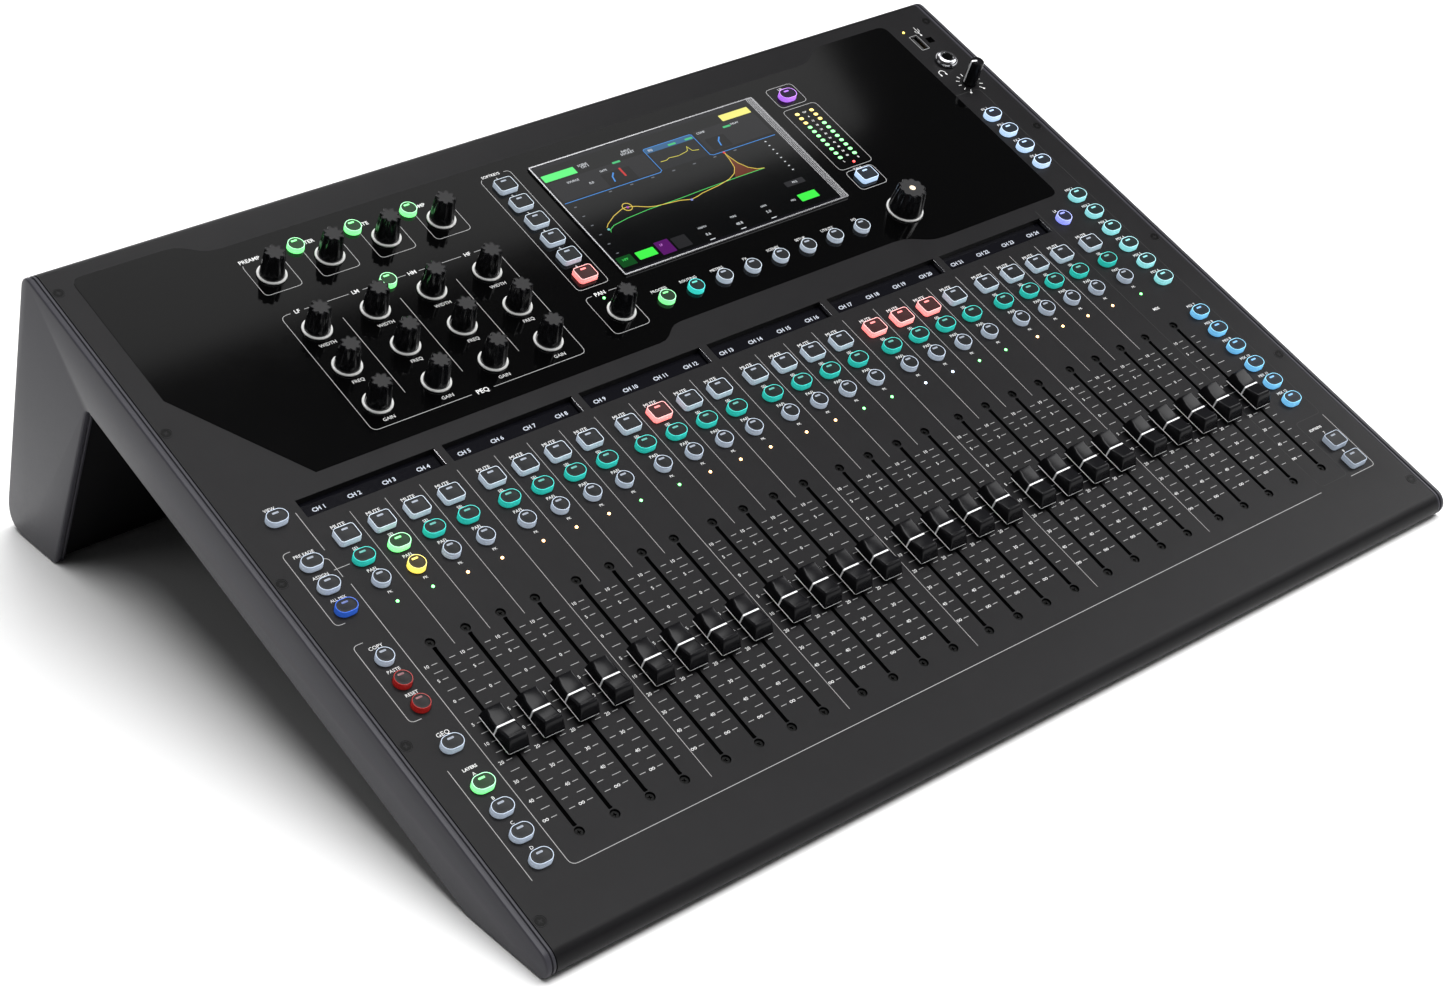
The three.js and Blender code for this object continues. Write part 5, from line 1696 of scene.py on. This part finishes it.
def build_ports():
    """Headphone jack, data slot and lock slot on the right-hand strip."""
    form = Form()
    nut = ((7.5, 0.02), (7.6, 0.5), (7.5, 1.6), (6.9, 2.9), (5.8, 3.8), (4.6, 4.2), (3.9, 4.15),
           (3.5, 3.7), (3.4, -5.4))
    form.turned(JACK_X, JACK_S, nut, 48, marks=[0] * 7 + [1])
    # The jack's inner floor takes the near-black: painted shade deep in the socket.
    form.marks[-1] = 2
    x, s, size = DATA_SLOT
    form.band(outline(x, s, size, -0.15), outline(x, s, size, -0.5), -6.0, -0.3, 0)
    # Near-black floor of the data slot: painted shade at its depth.
    form.slab(outline(x, s, size, -0.3), -6.6, -5.9, 2)
    form.shaped(x - 0.9, s, (1.5, 10.6, 0.2), ((-6.0, 0.0), (-0.9, 0.0), (-0.8, -0.1)), mark=1)
    for k in range(4):
        contact = outline(x + 0.05, s + 3.6 - 2.4 * k, (0.3, 1.2, 0.1), steps=1)
        form.slab(contact, -5.8, -1.2, 3)
    outer, inner = (outline(LOCK_X, LOCK_S, (5, 5, 0.5), grow) for grow in (0.6, -0.1))
    form.band(outer, inner, -4.6, -2.02, 1)
    # Near-black floor of the lock slot: painted shade at its depth.
    form.slab(outer, -5.2, -4.6, 2)
    finishes = (bright_chrome(), socket_black(), black_print_and_port_shade(), contact_gold())
    form.piece("front_ports", finishes, "zinc_steel")


# ------------------------------------------------------------------ the back and underside


BACK = placed(-ACROSS, OUTWARD, UP_SLOPE, ORIGIN + UP_SLOPE * REAR_FACE * MM)
MIC_ROW, VENT_ROW, LOWER_ROW = -42.0, -84.0, -92.0
MIC_PLACES = [(-(k - 11.5) * 24.4, MIC_ROW) for k in range(24)]
OUT_PLACES = [(268.0, LOWER_ROW), (243.0, LOWER_ROW)]
DATA_PLACES = [(205.0, LOWER_ROW), (183.0, LOWER_ROW)]
INLET = (-262.0, LOWER_ROW)
ROCKER = (-226.0, LOWER_ROW)


def build_rear_plate():
    """The rear plate with round socket openings, port openings and the mains opening."""
    bottom = profile_corners(CHASSIS_INSET)["heel"][1] + REAR_FLANGE + FIT
    corners = framed(-PANEL_EDGE, bottom, PANEL_EDGE, REAR_TOP)
    socket = (22.0, 22.0, 11.0)
    holes = [hole_for(*place, socket, 0.0) for place in (*MIC_PLACES, *OUT_PLACES)]
    holes += [hole_for(*place, (16.0, 14.0, 0.6), 0.0) for place in DATA_PLACES]
    holes.append(hole_for(*INLET, (28.0, 20.5, 1.5), 0.0))
    holes.append(hole_for(*ROCKER, (14.2, 21.2, 0.8), 0.0))
    holes += [hole_for(120 - 9 * k, VENT_ROW, (3.0, 26.0, 1.5), 0.0) for k in range(22)]
    form = Form()
    plate(form, lambda grow: corners, holes, ((0.0, 0.2), (-0.2, 0.0), (-1.5, 0.0)))
    form.piece("rear_plate", (panel_paint(),), "deck_paint", nodes=("rear_panel",), matrix=BACK)


def build_sockets():
    """Microphone and output sockets with their sleeves and latches, and the rear screws."""
    shell = Form()
    shell.turned(0, 0, ((10.4, -11.5), (10.4, -0.3), (11.5, 0.02), (11.7, 0.8), (11.4, 1.2),
                        (9.4, 1.2), (9.0, 0.9), (8.9, -1.2), (8.2, -1.4), (8.2, -9.5)), 28)
    sleeve = Form()
    for angle in (90, 210, 330):
        x, n = 4.4 * math.cos(math.radians(angle)), 4.4 * math.sin(math.radians(angle))
        sleeve.turned(x, n, ((1.5, -9.5), (1.5, -6.2), (0.9, -6.2), (0.9, -9.0)), 10)
    latch = Form()
    latch.shaped(0, 9.9, (5.0, 2.6, 0.7), ((0.6, 0.0), (1.9, -0.1), (2.15, -0.5)), steps=3)
    places = spots_at((*MIC_PLACES, *OUT_PLACES))
    for name, master, material in (("socket_shells", shell, socket_black()),
                                   ("socket_sleeves", sleeve, contact_gold()),
                                   ("socket_latches", latch, bright_chrome())):
        form = Form()
        form.copies(master, places)
        form.piece(name, (material,), "knob_black", matrix=BACK)
    screw = screw_form(1.5, 0.95)
    form = Form()
    spots = []
    for x, n in (*MIC_PLACES, *OUT_PLACES):
        spots += spots_at([(x - 9.6, n + 9.6), (x + 9.6, n - 9.6)], 0.3, 0.4, 0.7)
    edges = [(x, n) for x in (-300, -150, 0, 150, 300) for n in (-19, -130)]
    form.copies(screw, spots + spots_at(edges, 0.3, 0.2))
    form.piece("rear_screws", (black_steel(),), "zinc_steel", matrix=BACK)


def build_rear_ports():
    """Data ports, the mains inlet and the switch's bezel."""
    form = Form()
    for x, n in DATA_PLACES:
        size = (15.8, 13.8, 0.5)
        form.band(outline(x, n, size, 0.9, 3), outline(x, n, size, -1.2, 3), -11.0, 0.7, 0)
        # Near-black floor of each data port: painted shade at its depth.
        form.slab(outline(x, n, size, -1.1, 3), -11.0, -10.4, 2)
        for k in range(8):
            contact = outline(x - 3.5 + k, n + 4.4, (0.45, 2.6, 0.1), steps=1)
            form.slab(contact, -10.4, -3.0, 3)
        form.shaped(x, n - 5.8, (4.4, 1.6, 0.3), ((-10.5, 0.0), (-2.0, 0.0)), mark=1, steps=2)
    x, n = INLET
    size = (27.8, 20.3, 1.4)
    cavity = (22.5, 15.6, 2.6)
    form.band(outline(x, n, size, 1.4), outline(x, n, cavity, 0.0), 0.02, 1.1, 1)
    form.band(outline(x, n, size, -0.3), outline(x, n, cavity, 0.0), -13.0, 0.05, 1)
    # Near-black floor of the mains inlet: painted shade at its depth.
    form.slab(outline(x, n, cavity, 0.3), -13.6, -13.0, 2)
    for dx, dn in ((-6.8, -0.8), (0, 2.2), (6.8, -0.8)):
        form.shaped(x + dx, n + dn, (2.0, 4.2, 0.3), ((-13.0, 0.0), (-3.2, 0.0), (-2.6, -0.4)),
                    mark=0, steps=2)
    x, n = ROCKER
    size = (14.2, 21.2, 0.8)
    form.band(outline(x, n, size, 1.5), outline(x, n, size, -0.1), 0.02, 1.0, 1)
    finishes = (bright_chrome(), socket_black(), black_print_and_port_shade(), contact_gold())
    form.piece("rear_ports", finishes, "zinc_steel", matrix=BACK)


def build_rocker():
    """The mains rocker: a hollow-faced paddle with a bar and a ring for on and off."""
    low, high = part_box("power_switch")
    pivot = Vector(JOINTS["power_switch_tip"]["pos_m"])
    tip = math.radians(8)
    along = Matrix.Rotation(tip, 3, "X") @ OUTWARD
    out = Matrix.Rotation(tip, 3, "X") @ UP_SLOPE
    place = placed(-ACROSS, along, out, pivot)
    width = (high.x - low.x) / MM
    half, reach = 9.2, 4.8
    dish = [(half, reach), (half * 0.6, reach - 0.55), (0.0, reach - 0.9),
            (-half * 0.6, reach - 0.55), (-half, reach)]
    ring = arc(0, 0, half, 180, 360, 12) + dish
    loops = []
    for x, shrink in ((-width / 2, 0.93), (-width / 2 + 0.5, 1.0), (width / 2 - 0.5, 1.0),
                      (width / 2, 0.93)):
        loops.append([(x, y * shrink, z * shrink) for y, z in ring])
    form = Form()
    form.loft(loops, mark=0)
    form.strip([(0, 4.2), (0, 7.4)], 0.7, reach - 0.75, reach - 0.12, mark=1)
    form.strip(ring_points(0, -5.6, 1.6, 20), 0.55, reach - 0.75, reach - 0.30, closed=True, mark=1)
    form.piece("power_rocker", (socket_black(), cap_white()), "knob_black", "power_switch",
               ("power_switch",), place)


def build_feet():
    """Rubber feet under the rear foot, and finishes for the CAD pieces that are kept."""
    at = profile_corners(CHASSIS_INSET)
    toe, heel = at["toe"], at["heel"]
    form = Form()
    for x in (-280.0, 280.0):
        for share in (0.32, 0.68):
            s = toe[0] + (heel[0] - toe[0]) * share
            n = table_line(s, CHASSIS_INSET)
            base = ORIGIN + (ACROSS * x + UP_SLOPE * s + OUTWARD * n) * MM
            place = placed(ACROSS, Vector((0, 1, 0)), Vector((0, 0, 1)), base)
            local = Form()
            local.turned(0, 0, ((6.6, -CHASSIS_INSET + 0.15), (7.0, -1.6), (7.4, -0.05)), 28)
            points = [TO_DECK @ (place @ Vector(point)) for point in local.points]
            form.add(points, local.faces)
    form.piece("rubber_feet", (foot_rubber(),), "knob_black")
    carried = (("chassis", panel_paint()), ("control_boards", board_mask()),
               ("power_supply", zinc_plate()))
    for node, material in carried:
        made = frame["nodes"][node]
        made.data.materials.clear()
        made.data.materials.append(material)


# ------------------------------------------------------------------ the studio


def build_studio():
    """Floor, soft boxes, dim surroundings and the camera."""
    settings = bpy.context.scene.console_studio
    scene = bpy.context.scene
    floor = Form()
    half = 9000
    floor.loft([[(x, y, z) for x, y in framed(-half, -half, half, half)] for z in (-20, 0)])
    paper = finish("Studio floor", settings.floor, 0.7, 2.0, 0.01, 0.01, 0.05)
    mesh = floor.mesh("studio_floor", (paper,), Matrix.Scale(MM, 4))
    made = bpy.data.objects.new("studio_floor", mesh)
    scene.collection.objects.link(made)
    world = bpy.data.worlds.new("Studio")
    world.use_nodes = True
    world.node_tree.nodes["Background"].inputs["Color"].default_value = (1, 1, 1, 1)
    world.node_tree.nodes["Background"].inputs["Strength"].default_value = 0.05
    scene.world = world
    boxes = (
        ("left", (-2.1, 0.9, 1.0), (-0.3, 0.1, 0.1), 1.3, 1.2, settings.side_light),
        ("front", (1.9, -1.9, 1.3), (0.2, -0.2, 0.05), 1.6, 1.0, settings.front_light),
        ("back", (0.2, 2.6, 1.0), (0.0, 0.0, 0.1), 2.6, 0.9, settings.back_light),
        ("right", (2.3, -0.62, 1.75), (0.2, -0.35, 0.05), 1.4, 1.4, settings.right_light),
        ("sheen_wide", (1.35, 1.75, 2.5), (1.35, 1.75, 0.0), 1.7, 1.7, settings.sheen),
        ("sheen_mid", (1.25, 1.85, 2.52), (1.25, 1.85, 0.0), 1.4, 1.4, settings.sheen),
        ("sheen_core", (1.15, 1.95, 2.54), (1.15, 1.95, 0.0), 1.1, 1.1, settings.sheen),
    )
    for name, place, target, width, height, power in boxes:
        data = bpy.data.lights.new(f"box_{name}", "AREA")
        data.shape = "RECTANGLE"
        data.size, data.size_y, data.energy = width, height, power
        lamp = bpy.data.objects.new(f"box_{name}", data)
        lamp.location = place
        lamp.rotation_euler = (Vector(target) - Vector(place)).to_track_quat("-Z", "Y").to_euler()
        scene.collection.objects.link(lamp)
    sun = bpy.data.lights.new("high_window", "SUN")
    sun.energy, sun.angle = settings.high_light, math.radians(48)
    lamp = bpy.data.objects.new("high_window", sun)
    lamp.rotation_euler = Vector((-0.12, 0.10, -0.987)).to_track_quat("-Z", "Y").to_euler()
    scene.collection.objects.link(lamp)
    camera = bpy.data.cameras.new("Camera")
    camera.lens = 68.06
    camera.clip_start, camera.clip_end = 0.05, 60
    view = bpy.data.objects.new("Camera", camera)
    view.location = (-0.8487, -1.0229, 0.7987)
    view.rotation_euler = [math.radians(angle) for angle in (59.518, 0.094, -39.597)]
    scene.collection.objects.link(view)
    scene.camera = view
    scene.view_settings.view_transform = "Standard"


# ------------------------------------------------------------------ operators and panel


def operator(name, label, text, action):
    """An operator class for one piece or group of like pieces."""

    def execute(self, context):
        action()
        return {"FINISHED"}

    body = {
        "bl_idname": f"console.{name}",
        "bl_label": label,
        "__doc__": text,
        "execute": execute,
    }
    return type(f"CONSOLE_OT_{name}", (bpy.types.Operator,), body)


def build_cheeks():
    for side in (-1, 1):
        build_cheek(side)


def build_all_keys():
    for mat in key_specs():
        build_keys(mat)


OPERATORS = (
    operator("panel", "Panel", "Build the painted panel", build_panel),
    operator("overlay", "Overlay", "Build the gloss overlay", build_overlay),
    operator("cheeks", "Cheeks", "Build both end cheeks", build_cheeks),
    operator("windows", "Channel displays", "Build the channel-name displays", build_windows),
    operator("screen", "Touch display", "Build the touch display and its picture", build_screen),
    operator("keys", "Keys", "Build every mat of keys", build_all_keys),
    operator("small_knobs", "Encoders", "Build the small encoders", build_small_knobs),
    operator("screen_knob", "Large encoder", "Build the encoder by the display", build_screen_knob),
    operator("phones_knob", "Level knob", "Build the headphone level knob", build_phones_knob),
    operator("caps", "Fader caps", "Build the fader caps", build_caps),
    operator("panel_print", "Panel print", "Print the panel", print_panel),
    operator("overlay_print", "Overlay print", "Print the overlay", print_overlay),
    operator("lamps", "Lamps", "Build the small lamps", build_lamps),
    operator("screws", "Screws", "Build the fader and panel screws", build_screws),
    operator("slots", "Slot edges", "Build the painted slot edges", build_slot_liners),
    operator("ports", "Front ports", "Build the jack and slots", build_ports),
    operator("rear_plate", "Rear plate", "Build the rear plate", build_rear_plate),
    operator("sockets", "Sockets", "Build the rear sockets", build_sockets),
    operator("rear_ports", "Rear ports", "Build data ports and mains inlet", build_rear_ports),
    operator("rocker", "Mains switch", "Build the mains rocker", build_rocker),
    operator("feet", "Feet and inside", "Build feet, finish the chassis and boards", build_feet),
    operator("studio", "Studio", "Build the floor, lights and camera", build_studio),
)


class CONSOLE_PT_parts(bpy.types.Panel):
    """Lists the console's pieces and settings."""

    bl_label = "Mixing console"
    bl_idname = "CONSOLE_PT_parts"
    bl_space_type = "VIEW_3D"
    bl_region_type = "UI"
    bl_category = "Console"

    def draw(self, context):
        for group in ("console_sizes", "console_colours", "console_studio"):
            settings = getattr(context.scene, group)
            box = self.layout.box()
            for name in settings.__annotations__:
                box.prop(settings, name)
        for made in OPERATORS:
            self.layout.operator(made.bl_idname, text=made.bl_label)


GROUPS = (
    ("console_sizes", ConsoleSizes),
    ("console_colours", ConsoleColours),
    ("console_studio", StudioSettings),
)


def register():
    for name, group in GROUPS:
        bpy.utils.register_class(group)
        setattr(bpy.types.Scene, name, PointerProperty(type=group))
    for made in (*OPERATORS, CONSOLE_PT_parts):
        bpy.utils.register_class(made)


def unregister():
    for made in reversed((*OPERATORS, CONSOLE_PT_parts)):
        bpy.utils.unregister_class(made)
    for name, group in reversed(GROUPS):
        delattr(bpy.types.Scene, name)
        bpy.utils.unregister_class(group)


def main():
    """Builds every piece in order and writes both boxes."""
    register()
    for made in OPERATORS:
        name = made.bl_idname.split(".")[1]
        getattr(bpy.ops.console, name)()


if __name__ == "__main__":
    main()
